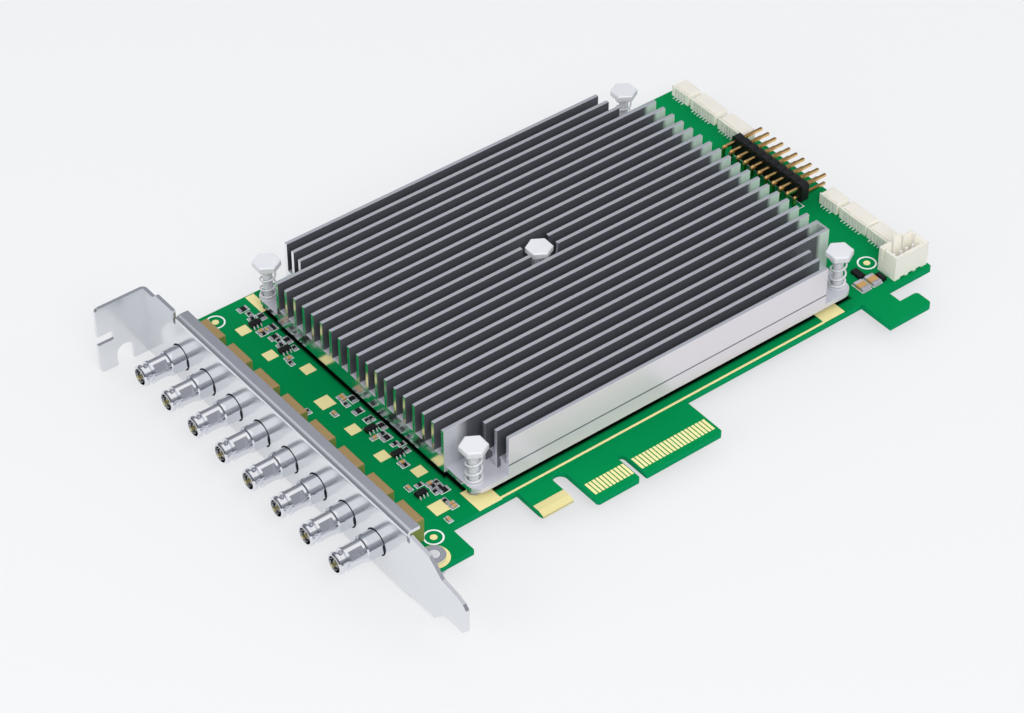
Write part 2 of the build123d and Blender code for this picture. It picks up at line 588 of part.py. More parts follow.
# Heatsink
with BuildPart() as heatsink:
    slab(SINK_LEFT, SINK_RIGHT, SINK_FRONT, SINK_BACK, SINK_GAP, BASE_TOP)
    for x, out in ((SINK_LEFT, -1), (SINK_RIGHT, 1)):
        for y0, y1 in ((SINK_FRONT, SINK_FRONT + CORNER_DEPTH), (SINK_BACK - CORNER_DEPTH, SINK_BACK)):
            slab(x - out * CORNER_CUT, x, y0, y1, EAR_TOP, FIN_TOP, Mode.SUBTRACT)
            slab(x - out * EAR_SET_IN, x, y0, y1, SINK_GAP, BASE_TOP, Mode.SUBTRACT)
    for i in range(FINS):
        y0 = SINK_FRONT + i * FIN_PITCH
        rank = min(i, FINS - 1 - i)
        if rank < SHORT_FINS:
            inset = CORNER_CUT - rank * FIN_STEP
            slab(SINK_LEFT + inset, SINK_RIGHT - inset, y0, y0 + FIN_T, EAR_TOP, FIN_TOP)
        else:
            slab(SINK_LEFT, SINK_RIGHT, y0, y0 + FIN_T, BASE_TOP, FIN_TOP)
    web_y = SINK_FRONT + WEB_FIN * FIN_PITCH
    slab(SINK_RIGHT - WEB_T, SINK_RIGHT, web_y, web_y + FIN_PITCH + FIN_T, BASE_TOP, FIN_TOP)
    slab(MID_BOLT[0] - POCKET_L / 2, MID_BOLT[0] + POCKET_L / 2, MID_BOLT[1] - 0.5 * FIN_PITCH - FIN_T,
         MID_BOLT[1] + 0.5 * FIN_PITCH + FIN_T, BASE_TOP, FIN_TOP + 1, Mode.SUBTRACT)
    with Locations(*[(x, y, SINK_GAP) for x, y in BOLTS]):
        Cylinder(BOLT_HOLE_R, 3 * SINK_BASE_T, mode=Mode.SUBTRACT)
    outer = [e for e in heatsink.edges().filter_by(Axis.Z)
             if min(abs(e.center().X - SINK_LEFT - EAR_SET_IN), abs(e.center().X - SINK_RIGHT + EAR_SET_IN)) < 0.01
             and min(abs(e.center().Y - SINK_FRONT), abs(e.center().Y - SINK_BACK)) < 0.01]
    fillet(outer, EAR_CORNER_R)
keep(heatsink, "heatsink")


def bolt_seat(bolt):
    """Height of the metal that a bolt's washer lies on."""
    return BASE_TOP if bolt == MID_BOLT else EAR_TOP


with BuildPart() as heatsink_bolts:
    with BuildSketch(Plane.XY.offset(HEAD_LOW)):
        with Locations(*BOLTS):
            RegularPolygon(BOLT_HEAD_AF / 2, 6, major_radius=False, rotation=BOLT_TURN)
    extrude(amount=BOLT_HEAD_H)
    chamfer(heatsink_bolts.faces().filter_by(Axis.Z).group_by(Axis.Z)[-1].edges(), 0.25)
    with BuildSketch(Plane.XY.offset(-BOARD_T - NUT_H)):
        with Locations(*BOLTS):
            Circle(BOLT_R)
    extrude(amount=HEAD_LOW + BOARD_T + NUT_H)
keep(heatsink_bolts, "heatsink_bolts")

with BuildPart() as heatsink_nuts:
    with BuildSketch(Plane.XY.offset(-BOARD_T - NUT_H)):
        with Locations(*BOLTS):
            RegularPolygon(NUT_AF / 2, 6, major_radius=False)
            Circle(BOLT_R, mode=Mode.SUBTRACT)
    extrude(amount=NUT_H)
keep(heatsink_nuts, "heatsink_nuts")

with BuildPart() as heatsink_washers:
    for bolt in BOLTS:
        with BuildSketch(Plane.XY.offset(bolt_seat(bolt))):
            with Locations(bolt):
                Circle(WASHER_R)
                Circle(BOLT_R + 0.15, mode=Mode.SUBTRACT)
        extrude(amount=WASHER_T)
keep(heatsink_washers, "heatsink_washers")

with BuildPart() as heatsink_springs:
    for bolt in BOLTS:
        low = bolt_seat(bolt) + WASHER_T
        high = HEAD_LOW
        turns = SPRING_TURNS if bolt != MID_BOLT else SPRING_TURNS - 1
        rise = high - low - 2 * SPRING_END
        with BuildLine() as coil:
            Helix(rise / turns, rise, SPRING_R, center=(bolt[0], bolt[1], low + SPRING_END))
        with BuildSketch(Plane(origin=coil.line @ 0, z_dir=coil.line % 0)):
            RegularPolygon(SPRING_WIRE / 2, SPRING_SIDES)
        sweep(path=coil.line)
        for end in (low, high - SPRING_END):
            with BuildSketch(Plane.XY.offset(end)):
                with Locations(bolt):
                    Circle(SPRING_R + SPRING_WIRE / 2)
                    Circle(SPRING_R - SPRING_WIRE / 2, mode=Mode.SUBTRACT)
            extrude(amount=SPRING_END)
keep(heatsink_springs, "heatsink_springs")

# Chips under the heatsink
with BuildPart() as processor:
    with Locations((*PROCESSOR_AT, 0)):
        Box(PROCESSOR_W, PROCESSOR_W, PROCESSOR_T * 0.45, align=(Align.CENTER, Align.CENTER, Align.MIN))
    with Locations((*PROCESSOR_AT, 0)):
        Box(PROCESSOR_W - 4, PROCESSOR_W - 4, PROCESSOR_T, align=(Align.CENTER, Align.CENTER, Align.MIN))
keep(processor, "processor")

with BuildPart() as video_receivers:
    with Locations(*[(RECEIVER_X, y, 0) for y in RECEIVER_YS]):
        Box(RECEIVER_W, RECEIVER_W, RECEIVER_T, align=(Align.CENTER, Align.CENTER, Align.MIN))
keep(video_receivers, "video_receivers")

with BuildPart() as memory_chips:
    with Locations(*[(x, y, 0) for x, y in MEMORY_AT]):
        Box(MEMORY_W, MEMORY_L, MEMORY_T, align=(Align.CENTER, Align.CENTER, Align.MIN))
keep(memory_chips, "memory_chips")

with BuildPart() as thermal_pads:
    with Locations((*PROCESSOR_AT, PROCESSOR_T)):
        Box(PROCESSOR_W - 4, PROCESSOR_W - 4, SINK_GAP - PROCESSOR_T, align=(Align.CENTER, Align.CENTER, Align.MIN))
    with Locations(*[(RECEIVER_X, y, RECEIVER_T) for y in RECEIVER_YS]):
        Box(RECEIVER_W, RECEIVER_W, SINK_GAP - RECEIVER_T, align=(Align.CENTER, Align.CENTER, Align.MIN))
    with Locations(*[(x, y, MEMORY_T) for x, y in MEMORY_AT]):
        Box(MEMORY_W, MEMORY_L, SINK_GAP - MEMORY_T, align=(Align.CENTER, Align.CENTER, Align.MIN))
keep(thermal_pads, "thermal_pads")

# Two-row pin header
with BuildPart() as header_body:
    slab(HEADER_X0, HEADER_X0 + HEADER_T, HEADER_Y - HEADER_L / 2, HEADER_Y + HEADER_L / 2,
         HEADER_LIFT, HEADER_TOP)
    with Locations(*[(HEADER_X0 + HEADER_T / 2, y, z) for y in HEADER_YS for z in ROW_Z]):
        Box(2 * HEADER_T, PIN_W, PIN_W, mode=Mode.SUBTRACT)
    with Locations(*[(HEADER_X0 + HEADER_T / 2, HEADER_Y + (i - HEADER_COLS / 2) * HEADER_PITCH, z)
                     for i in range(HEADER_COLS + 1) for z in (HEADER_LIFT, HEADER_TOP)]):
        Box(2 * HEADER_T, HEADER_GROOVE, HEADER_GROOVE, rotation=(45, 0, 0), mode=Mode.SUBTRACT)
keep(header_body, "header_body")

with BuildPart() as header_pins:
    for x, z in zip(ROW_X, ROW_Z):
        for y in HEADER_YS:
            with BuildSketch(Plane.XZ.offset(-(y - PIN_W / 2))):
                with BuildLine():
                    Polyline(
                        (x - PIN_W / 2, -BOARD_T - PIN_TAIL), (x + PIN_W / 2, -BOARD_T - PIN_TAIL),
                        (x + PIN_W / 2, z - PIN_W / 2), (PIN_TIP_X, z - PIN_W / 2), (PIN_TIP_X, z + PIN_W / 2),
                        (x - PIN_W / 2 + PIN_BEND, z + PIN_W / 2), (x - PIN_W / 2, z + PIN_W / 2 - PIN_BEND),
                        close=True,
                    )
                make_face()
            extrude(amount=-PIN_W)
keep(header_pins, "header_pins")

# Small side-entry connectors
for name, mid_y, ways in WAFERS:
    half = (ways - 1) * WAFER_PITCH / 2 + WAFER_END
    mouth_x = WAFER_X0 + WAFER_D
    lead_ys = [mid_y + (i - (ways - 1) / 2) * WAFER_PITCH for i in range(ways)]
    with BuildPart() as wafer:
        slab(WAFER_X0, mouth_x, mid_y - half, mid_y + half, 0, WAFER_H)
        slab(mouth_x - WAFER_CAVITY, mouth_x + 1, mid_y - half + WAFER_WALL, mid_y + half - WAFER_WALL,
             WAFER_WALL, WAFER_H - WAFER_WALL, Mode.SUBTRACT)
        slab(WAFER_X0 + WAFER_RIM, WAFER_X0 + WAFER_RIM + WAFER_GROOVE_W, mid_y - half + WAFER_WALL,
             mid_y + half - WAFER_WALL, WAFER_H - WAFER_GROOVE_D, WAFER_H + 1, Mode.SUBTRACT)
        for side in (-1, 1):
            end = mid_y + side * half
            slab(WAFER_X0 + WAFER_RIM, mouth_x, end - side * WAFER_END_STEP, end, WAFER_H - WAFER_END_STEP, WAFER_H,
                 Mode.SUBTRACT)
        for y in lead_ys:
            slab(WAFER_X0, WAFER_X0 + WAFER_SLOT_D, y - WAFER_SLOT_W / 2, y + WAFER_SLOT_W / 2,
                 0, WAFER_H - 2 * WAFER_GROOVE_D, Mode.SUBTRACT)
        with Locations(*[(WAFER_X0 + WAFER_D / 2, y, WAFER_H / 2) for y in lead_ys]):
            Box(2 * WAFER_D, WAFER_LEAD_W, WAFER_LEAD_T, mode=Mode.SUBTRACT)
    keep(wafer, f"wafer_housing_{name}")

with BuildPart() as wafer_leads:
    rise_x = WAFER_X0 + WAFER_SLOT_D / 4
    lead_end = WAFER_X0 + WAFER_D - WAFER_MOUTH_GAP
    mid_z = WAFER_H / 2
    for _, mid_y, ways in WAFERS:
        for i in range(ways):
            y = mid_y + (i - (ways - 1) / 2) * WAFER_PITCH
            with BuildSketch(Plane.XZ.offset(-(y - WAFER_LEAD_W / 2))):
                with BuildLine():
                    Polyline(
                        (WAFER_X0 - WAFER_TAIL, 0), (rise_x + WAFER_LEAD_T, 0),
                        (rise_x + WAFER_LEAD_T, mid_z - WAFER_LEAD_T / 2), (lead_end, mid_z - WAFER_LEAD_T / 2),
                        (lead_end, mid_z + WAFER_LEAD_T / 2), (rise_x, mid_z + WAFER_LEAD_T / 2),
                        (rise_x, WAFER_LEAD_T), (WAFER_X0 - WAFER_TAIL, WAFER_LEAD_T), close=True,
                    )
                make_face()
            extrude(amount=-WAFER_LEAD_W)
keep(wafer_leads, "wafer_leads")

# Box header
with BuildPart() as box_header:
    slab(BOX_X0, BOX_X0 + BOX_L, BOX_Y0, BOX_Y0 + BOX_W, 0, BOX_H)
    slab(BOX_X0 + BOX_WALL, BOX_X0 + BOX_L - BOX_WALL, BOX_Y0 + BOX_WALL, BOX_Y0 + BOX_W - BOX_WALL,
         BOX_FLOOR, BOX_H + 1, Mode.SUBTRACT)
    for x in (BOX_X0 + BOX_WALL / 2, BOX_X0 + BOX_L - BOX_WALL / 2):
        slab(x - BOX_WALL, x + BOX_WALL, BOX_Y + BOX_W / 4 - BOX_SLOT_W / 2, BOX_Y + BOX_W / 4 + BOX_SLOT_W / 2,
             BOX_H / 2, BOX_H + 1, Mode.SUBTRACT)
    slab(BOX_X - BOX_TONGUE_W / 2, BOX_X + BOX_TONGUE_W / 2, BOX_Y0 + BOX_W - BOX_WALL, BOX_Y0 + BOX_W,
         BOX_FLOOR, BOX_H + BOX_TONGUE_RISE)
    for side in (-1, 1):
        x = BOX_X + side * (BOX_TONGUE_W / 2 + BOX_SLOT_W / 2)
        slab(x - BOX_SLOT_W / 2, x + BOX_SLOT_W / 2, BOX_Y0 + BOX_W - 1.5 * BOX_WALL, BOX_Y0 + BOX_W + 1,
             BOX_H / 2, BOX_H + 3, Mode.SUBTRACT)
    for i in range(FOOT_GAPS):
        x = BOX_X + (i - (FOOT_GAPS - 1) / 2) * FOOT_GAP_PITCH
        slab(x - FOOT_GAP_W / 2, x + FOOT_GAP_W / 2, BOX_Y0 - 1, BOX_Y0 + BOX_W + 1, -1, FOOT_GAP_H, Mode.SUBTRACT)
    with Locations(*[(x, BOX_Y, BOX_FLOOR / 2) for x in BOX_PIN_XS]):
        Box(BOX_PIN_W, BOX_PIN_W, 2 * BOX_FLOOR, mode=Mode.SUBTRACT)
keep(box_header, "box_header_housing")

with BuildPart() as box_header_pins:
    with Locations(*[(x, BOX_Y, (BOX_PIN_TOP - BOARD_T - PIN_TAIL) / 2) for x in BOX_PIN_XS]):
        Box(BOX_PIN_W, BOX_PIN_W, BOX_PIN_TOP + BOARD_T + PIN_TAIL)
keep(box_header_pins, "box_header_pins")

# Small parts on the board
with BuildPart() as small_chips:
    for x, y in SOT_AT:
        with Locations((x, y, SOT_LIFT)):
            Box(SOT_L, SOT_W, SOT_H - SOT_LIFT, align=(Align.CENTER, Align.CENTER, Align.MIN))
        with Locations(*[(x + i * SOT_LEAD_PITCH, y, 0) for i in (-1, 0, 1)]):
            Box(SOT_LEAD_W, SOT_SPREAD, SOT_LEAD_H, align=(Align.CENTER, Align.CENTER, Align.MIN))
keep(small_chips, "small_chips")


def chip_bodies(places, length, width, height, end, along_y=False):
    """The bodies of two-ended chips, without their metal ends, in the open part."""
    body = length - 2 * end
    size = (width, body) if along_y else (body, width)
    with Locations(*[(x, y, 0) for x, y in places]):
        Box(*size, height, align=(Align.CENTER, Align.CENTER, Align.MIN))


def chip_ends(places, length, width, height, end, along_y=False):
    """The metal ends of two-ended chips, in the open part."""
    shift = (length - end) / 2
    offsets = [(0, -shift), (0, shift)] if along_y else [(-shift, 0), (shift, 0)]
    size = (width + END_LIFT, end) if along_y else (end, width + END_LIFT)
    with Locations(*[(x + dx, y + dy, 0) for x, y in places for dx, dy in offsets]):
        Box(*size, height + END_LIFT, align=(Align.CENTER, Align.CENTER, Align.MIN))


RESISTORS = (
    (RESISTOR_X_AT, CHIP_L, CHIP_W, RESISTOR_H, CHIP_END, False),
    (RESISTOR_Y_AT, CHIP_L, CHIP_W, RESISTOR_H, CHIP_END, True),
    (WIDE_X_AT, WIDE_CHIP_L, WIDE_CHIP_W, RESISTOR_H, WIDE_CHIP_END, False),
    (WIDE_Y_AT, WIDE_CHIP_L, WIDE_CHIP_W, RESISTOR_H, WIDE_CHIP_END, True),
)
CAPACITORS = (
    (CAPACITOR_X_AT, CHIP_L, CHIP_W, CAPACITOR_H, CHIP_END, False),
    (CAPACITOR_Y_AT, CHIP_L, CHIP_W, CAPACITOR_H, CHIP_END, True),
)
BIG_CAPACITORS = (BIG_CAP_AT, BIG_CAP_L, BIG_CAP_W, BIG_CAP_H, BIG_CAP_END, True)

with BuildPart() as chip_resistors:
    for group in RESISTORS:
        chip_bodies(*group)
keep(chip_resistors, "chip_resistors")

with BuildPart() as chip_capacitors:
    for group in CAPACITORS:
        chip_bodies(*group)
keep(chip_capacitors, "chip_capacitors")

with BuildPart() as large_capacitors:
    chip_bodies(*BIG_CAPACITORS)
keep(large_capacitors, "large_capacitors")

with BuildPart() as chip_terminals:
    for group in (*RESISTORS, *CAPACITORS, BIG_CAPACITORS):
        chip_ends(*group)
keep(chip_terminals, "chip_terminals")

with BuildPart() as suppressor_chips:
    for x, y, width, length in (LARGE_SUPPRESSOR, SMALL_SUPPRESSOR):
        slab(x - width / 2, x + width / 2, y - length / 2, y + length / 2, 0, SUPPRESSOR_H)
    fillet(suppressor_chips.edges().group_by(Axis.Z)[-1], 0.1)
keep(suppressor_chips, "suppressor_chips")
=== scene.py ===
"""Looks of the video capture card: finishes, fine pieces, light, floor and camera."""

import logging
import math
from dataclasses import dataclass, field
from enum import Enum
from typing import ClassVar

import bmesh
import bpy
from mathutils import Euler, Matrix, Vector


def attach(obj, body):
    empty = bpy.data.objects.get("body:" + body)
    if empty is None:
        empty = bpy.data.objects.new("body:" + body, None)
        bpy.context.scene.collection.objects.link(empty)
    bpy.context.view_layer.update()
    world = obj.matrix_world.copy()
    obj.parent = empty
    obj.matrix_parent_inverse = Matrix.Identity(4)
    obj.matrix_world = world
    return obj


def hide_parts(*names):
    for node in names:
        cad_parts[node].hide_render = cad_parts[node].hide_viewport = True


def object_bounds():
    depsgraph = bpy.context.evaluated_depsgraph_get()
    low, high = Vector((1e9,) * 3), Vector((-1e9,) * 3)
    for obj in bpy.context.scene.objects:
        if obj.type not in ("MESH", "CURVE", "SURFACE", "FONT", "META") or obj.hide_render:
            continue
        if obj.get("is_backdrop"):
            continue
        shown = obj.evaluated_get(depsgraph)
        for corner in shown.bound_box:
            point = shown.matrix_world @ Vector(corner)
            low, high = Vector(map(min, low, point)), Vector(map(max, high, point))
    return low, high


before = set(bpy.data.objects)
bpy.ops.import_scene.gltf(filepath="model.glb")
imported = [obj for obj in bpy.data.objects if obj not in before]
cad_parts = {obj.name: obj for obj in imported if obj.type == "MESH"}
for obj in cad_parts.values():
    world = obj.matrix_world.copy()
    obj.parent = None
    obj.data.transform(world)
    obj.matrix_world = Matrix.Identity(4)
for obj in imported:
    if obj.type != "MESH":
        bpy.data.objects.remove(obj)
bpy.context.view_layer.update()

MM = 0.001
EDGE_MARK_TURN = (0.01, 0.22)  # how far rounded shading turns from the face, from a plain face to an edge that takes wear and a painted highlight
GRAIN_RANGE = (0.38, 0.62)  # the part of the noise that counts as grain
CLOUD_RANGE = (0.3, 0.7)  # the part of the noise that counts as cloud
SMEAR_RANGE = (0.45, 0.68)  # the part of the noise that counts as smear
SMEAR_FINER = 3.7  # how many times finer smears are than clouds
CLOUD_SHARE, GRAIN_SHARE = 0.7, 0.3  # how much cloud and grain drift a plain finish's colour
TOP_CLOUD, SIDE_GRAIN = 0.8, 0.25  # the same for a sided finish's top and its sides
SQUARE_ON = 0.9  # the least share of a normal for a face that looks along an axis
FORMED_ROUND = 35.0  # edges of formed meshes below this angle in degrees are shaded round
REPEATED_ROUND = 40.0  # the same angle for repeated meshes
STEPS_A_TURN = 28.0  # runs of a spring's wire in one turn
WIRE_SIDES = 10  # sides of a spring's wire
LOG = logging.getLogger("capture_card")
Colour = tuple[int, int, int]
Pair = tuple[float, float]
Point = tuple[float, float, float]
Coats = dict[str, tuple[str, ...]]  # finish name to the CAD nodes that take it
Socket = bpy.types.NodeSocket
Material = bpy.types.Material
Thing = bpy.types.Object


# Small helpers

def linear(colour: Colour) -> tuple[float, float, float, float]:
    """Turns a colour of 0 to 255 a channel into the values that shaders use.

    Args:
        colour: red, green and blue as a screen shows them.

    Returns:
        Red, green, blue and an opacity of one.
    """
    parts = []
    for channel in colour:
        value = channel / 255
        parts.append(value / 12.92 if value <= 0.04045 else ((value + 0.055) / 1.055) ** 2.4)
    return (parts[0], parts[1], parts[2], 1.0)


def metres(point: Point) -> Point:
    """Turns a place in millimetres into metres."""
    return tuple(c * MM for c in point)


def linked(name: str, data: bpy.types.ID) -> Thing:
    """Makes an object and puts it in the scene.

    Args:
        name: its name.
        data: its mesh, lamp or lens.

    Returns:
        The object, at the origin.
    """
    made = bpy.data.objects.new(name, data)
    bpy.context.scene.collection.objects.link(made)
    return made


def shade_round(mesh: bpy.types.Mesh, angle: float) -> None:
    """Shades a mesh round, but for edges that turn by more than an angle in degrees."""
    mesh.polygons.foreach_set("use_smooth", [True] * len(mesh.polygons))
    mesh.set_sharp_from_angle(angle=math.radians(angle))


class Wiring:
    """Adds nodes to a tree and joins their sockets."""

    def __init__(self, tree: bpy.types.NodeTree) -> None:
        """Keeps the tree that the nodes go into."""
        self.tree = tree

    def add(self, kind: str, inputs: dict | None = None, **settings: object) -> bpy.types.Node:
        """Adds one node, with its settings and what goes into its sockets.

        Args:
            kind: the node's type name.
            inputs: socket name or number to a plain value or to another node's output.
            settings: the node's own properties.

        Returns:
            The new node.
        """
        node = self.tree.nodes.new(kind)
        for name, value in settings.items():
            setattr(node, name, value)
        for key, value in (inputs or {}).items():
            if isinstance(value, Socket):
                self.tree.links.new(value, node.inputs[key])
            else:
                node.inputs[key].default_value = value
        return node

    def give(self, out: bpy.types.Node, **results: Socket) -> bpy.types.NodeTree:
        """Joins the results to the tree's outputs and hands the tree on."""
        for name, result in results.items():
            self.tree.links.new(result, out.inputs[name])
        return self.tree

    def maths(self, operation: str, first: object, second: object = 0.0) -> Socket:
        """Works out one sum of two values or outputs, such as MULTIPLY."""
        return self.add("ShaderNodeMath", {0: first, 1: second}, operation=operation).outputs[0]

    def blend(self, share: object, low: object, high: object) -> Socket:
        """Mixes two colours by the share of the second."""
        return self.add("ShaderNodeMix", {0: share, 6: low, 7: high}, data_type="RGBA").outputs[2]

    def spread(self, value: object, low: float, high: float, to_low: float = 0.0,
               to_high: float = 1.0) -> Socket:
        """Maps a value from one range to another, held at the ends."""
        given = {"Value": value, "From Min": low, "From Max": high, "To Min": to_low, "To Max": to_high}
        return self.add("ShaderNodeMapRange", given).outputs[0]

    def place(self) -> tuple[Socket, ...]:
        """Gives x, y and z of the place on the object."""
        source = self.add("ShaderNodeTexCoord").outputs["Object"]
        return tuple(self.add("ShaderNodeSeparateXYZ", {0: source}).outputs)

    def facing(self) -> tuple[Socket, ...]:
        """Gives x, y and z of the way that the face looks."""
        source = self.add("ShaderNodeNewGeometry").outputs["True Normal"]
        return tuple(self.add("ShaderNodeSeparateXYZ", {0: source}).outputs)


def fresh(holder: bpy.types.ID) -> Wiring:
    """Empties the nodes of a new material or world and gives its wiring."""
    holder.use_nodes = True
    holder.node_tree.nodes.clear()
    return Wiring(holder.node_tree)


# Shader groups that several finishes use

def open_group(name: str, takes: dict[str, str], gives: dict[str, str], kind: str = "ShaderNodeTree") -> tuple:
    """Starts a node group with its sockets.

    Args:
        name: the group's name.
        takes: input name to socket type.
        gives: output name to socket type.
        kind: the tree's type name.

    Returns:
        The wiring, the group's input node and its output node.
    """
    tree = bpy.data.node_groups.new(name, kind)
    for way, sockets in (("INPUT", takes), ("OUTPUT", gives)):
        for label, socket_type in sockets.items():
            tree.interface.new_socket(label, in_out=way, socket_type=socket_type)
    wiring = Wiring(tree)
    return wiring, wiring.add("NodeGroupInput"), wiring.add("NodeGroupOutput")


def edge_wear_and_highlight_group() -> bpy.types.NodeTree:
    """Makes the group that finds sharp edges, which take wear and a painted highlight, and rounds their shading.

    Returns:
        The group, with a mask and a normal.
    """
    w, ends, out = open_group("edge_wear_and_highlight", {"Radius": "NodeSocketFloat"},
                              {"Mask": "NodeSocketFloat", "Normal": "NodeSocketVector"})
    bevel = w.add("ShaderNodeBevel", {"Radius": ends.outputs["Radius"]}, samples=4)
    flat = w.add("ShaderNodeNewGeometry")
    match = w.add("ShaderNodeVectorMath", {0: bevel.outputs[0], 1: flat.outputs["Normal"]},
                  operation="DOT_PRODUCT")
    mask = w.spread(w.maths("SUBTRACT", 1.0, match.outputs["Value"]), *EDGE_MARK_TURN)
    return w.give(out, Mask=mask, Normal=bevel.outputs[0])


def fine_grain_group() -> bpy.types.NodeTree:
    """Makes the group for grain, drawn out along an axis where the surface was worked along it.

    Returns:
        The group, with a height and a mask.
    """
    w, ends, out = open_group("fine_grain", {"Place": "NodeSocketVector", "Stretch": "NodeSocketVector",
                                             "Scale": "NodeSocketFloat"},
                              {"Height": "NodeSocketFloat", "Mask": "NodeSocketFloat"})
    drawn = w.add("ShaderNodeVectorMath", {0: ends.outputs["Place"], 1: ends.outputs["Stretch"]},
                  operation="MULTIPLY")
    noise = w.add("ShaderNodeTexNoise", {"Vector": drawn.outputs[0], "Scale": ends.outputs["Scale"],
                                         "Detail": 4.0, "Roughness": 0.62})
    return w.give(out, Height=noise.outputs[0], Mask=w.spread(noise.outputs[0], *GRAIN_RANGE))


def slow_cloud_group() -> bpy.types.NodeTree:
    """Makes the group for slow changes of tone and gloss, such as handling leaves.

    Returns:
        The group, with a cloud and a smear mask.
    """
    w, ends, out = open_group("slow_cloud", {"Place": "NodeSocketVector", "Scale": "NodeSocketFloat"},
                              {"Cloud": "NodeSocketFloat", "Smear": "NodeSocketFloat"})
    cloud = w.add("ShaderNodeTexNoise", {"Vector": ends.outputs["Place"], "Scale": ends.outputs["Scale"],
                                         "Detail": 2.0, "Distortion": 0.6})
    fine = w.maths("MULTIPLY", ends.outputs["Scale"], SMEAR_FINER)
    smear = w.add("ShaderNodeTexNoise", {"Vector": ends.outputs["Place"], "Scale": fine, "Detail": 5.0,
                                         "Distortion": 1.4})
    return w.give(out, Cloud=w.spread(cloud.outputs[0], *CLOUD_RANGE),
                  Smear=w.spread(smear.outputs[0], *SMEAR_RANGE))


@dataclass
class ShaderKit:
    """The shader groups, each built once."""

    edge_wear_and_highlight: bpy.types.NodeTree = field(default_factory=edge_wear_and_highlight_group)
    fine_grain: bpy.types.NodeTree = field(default_factory=fine_grain_group)
    slow_cloud: bpy.types.NodeTree = field(default_factory=slow_cloud_group)


class Grain(Enum):
    """How the surface was worked, as the stretch of its grain."""

    EVEN = (1.0, 1.0, 1.0)
    ALONG_X = (0.02, 1.0, 1.0)
    ALONG_Y = (1.0, 0.02, 1.0)
    ROUND_X = (1.0, 0.015, 0.015)


@dataclass(frozen=True)
class Finish:
    """One finish, from a few plain values.

    Sizes are millimetres and colours are 0 to 255 a channel.
    """

    name: str
    colour: Colour
    drift: Colour
    # the colour of sharp edges: wear, and a painted highlight along them
    edge: Colour
    metallic: float = 0.0
    roughness: float = 0.5
    rough_spread: float = 0.08
    grain: Grain = Grain.EVEN
    grain_size: float = 0.2
    grain_height: float = 0.02
    cloud_size: float = 12.0
    edge_radius: float = 0.12
    edge_share: float = 0.6
    gloss: float = 0.5

    def build(self, kit: ShaderKit) -> Material:
        """Makes the material.

        Args:
            kit: the shared shader groups.

        Returns:
            The material, ready for a slot.
        """
        material = bpy.data.materials.new(self.name)
        w = fresh(material)
        place = w.add("ShaderNodeTexCoord").outputs["Object"]
        grain = w.add("ShaderNodeGroup", {"Place": place, "Stretch": self.grain.value,
                                          "Scale": 1.0 / (self.grain_size * MM)}, node_tree=kit.fine_grain)
        cloud = w.add("ShaderNodeGroup", {"Place": place, "Scale": 1.0 / (self.cloud_size * MM)},
                      node_tree=kit.slow_cloud)
        edge = w.add("ShaderNodeGroup", {"Radius": self.edge_radius * MM}, node_tree=kit.edge_wear_and_highlight)
        body = self.tone(w, cloud.outputs["Cloud"], grain.outputs["Mask"])
        # sharp edges take the edge colour, which is wear and a painted highlight
        wear_and_highlight = w.maths("MULTIPLY", edge.outputs["Mask"], self.edge_share)
        colour = w.blend(wear_and_highlight, body, linear(self.edge))
        rough = w.maths("ADD", w.maths("MULTIPLY", cloud.outputs["Smear"], self.rough_spread),
                        w.maths("MULTIPLY", grain.outputs["Mask"], 0.5 * self.rough_spread))
        rough = w.maths("ADD", rough, self.roughness - 0.5 * self.rough_spread)
        bump = w.add("ShaderNodeBump", {"Height": grain.outputs["Height"], "Normal": edge.outputs["Normal"],
                                        "Strength": 1.0, "Distance": self.grain_height * MM})
        polished = self.polish(w)
        metallic: object = self.metallic
        if polished is not None:
            metallic = w.maths("ADD", self.metallic, w.maths("MULTIPLY", polished, 1.0 - self.metallic))
            rough = w.maths("SUBTRACT", rough, w.maths("MULTIPLY", polished, 0.5 * self.roughness))
        shader = w.add("ShaderNodeBsdfPrincipled", {
            "Base Color": colour, "Roughness": rough, "Normal": bump.outputs[0], "Metallic": metallic,
            "Specular IOR Level": self.gloss})
        w.add("ShaderNodeOutputMaterial", {"Surface": shader.outputs[0]})
        return material

    def tone(self, w: Wiring, cloud: Socket, mask: Socket) -> Socket:
        """Gives the colour before its edges take wear and a painted highlight, from the slow cloud and the
        grain's mask.
        """
        share = w.maths("ADD", w.maths("MULTIPLY", cloud, CLOUD_SHARE), w.maths("MULTIPLY", mask, GRAIN_SHARE))
        return w.blend(share, linear(self.colour), linear(self.drift))

    def polish(self, w: Wiring) -> Socket | None:
        """Gives the mask of faces that are bare and mirror more than the rest, if any."""
        return None


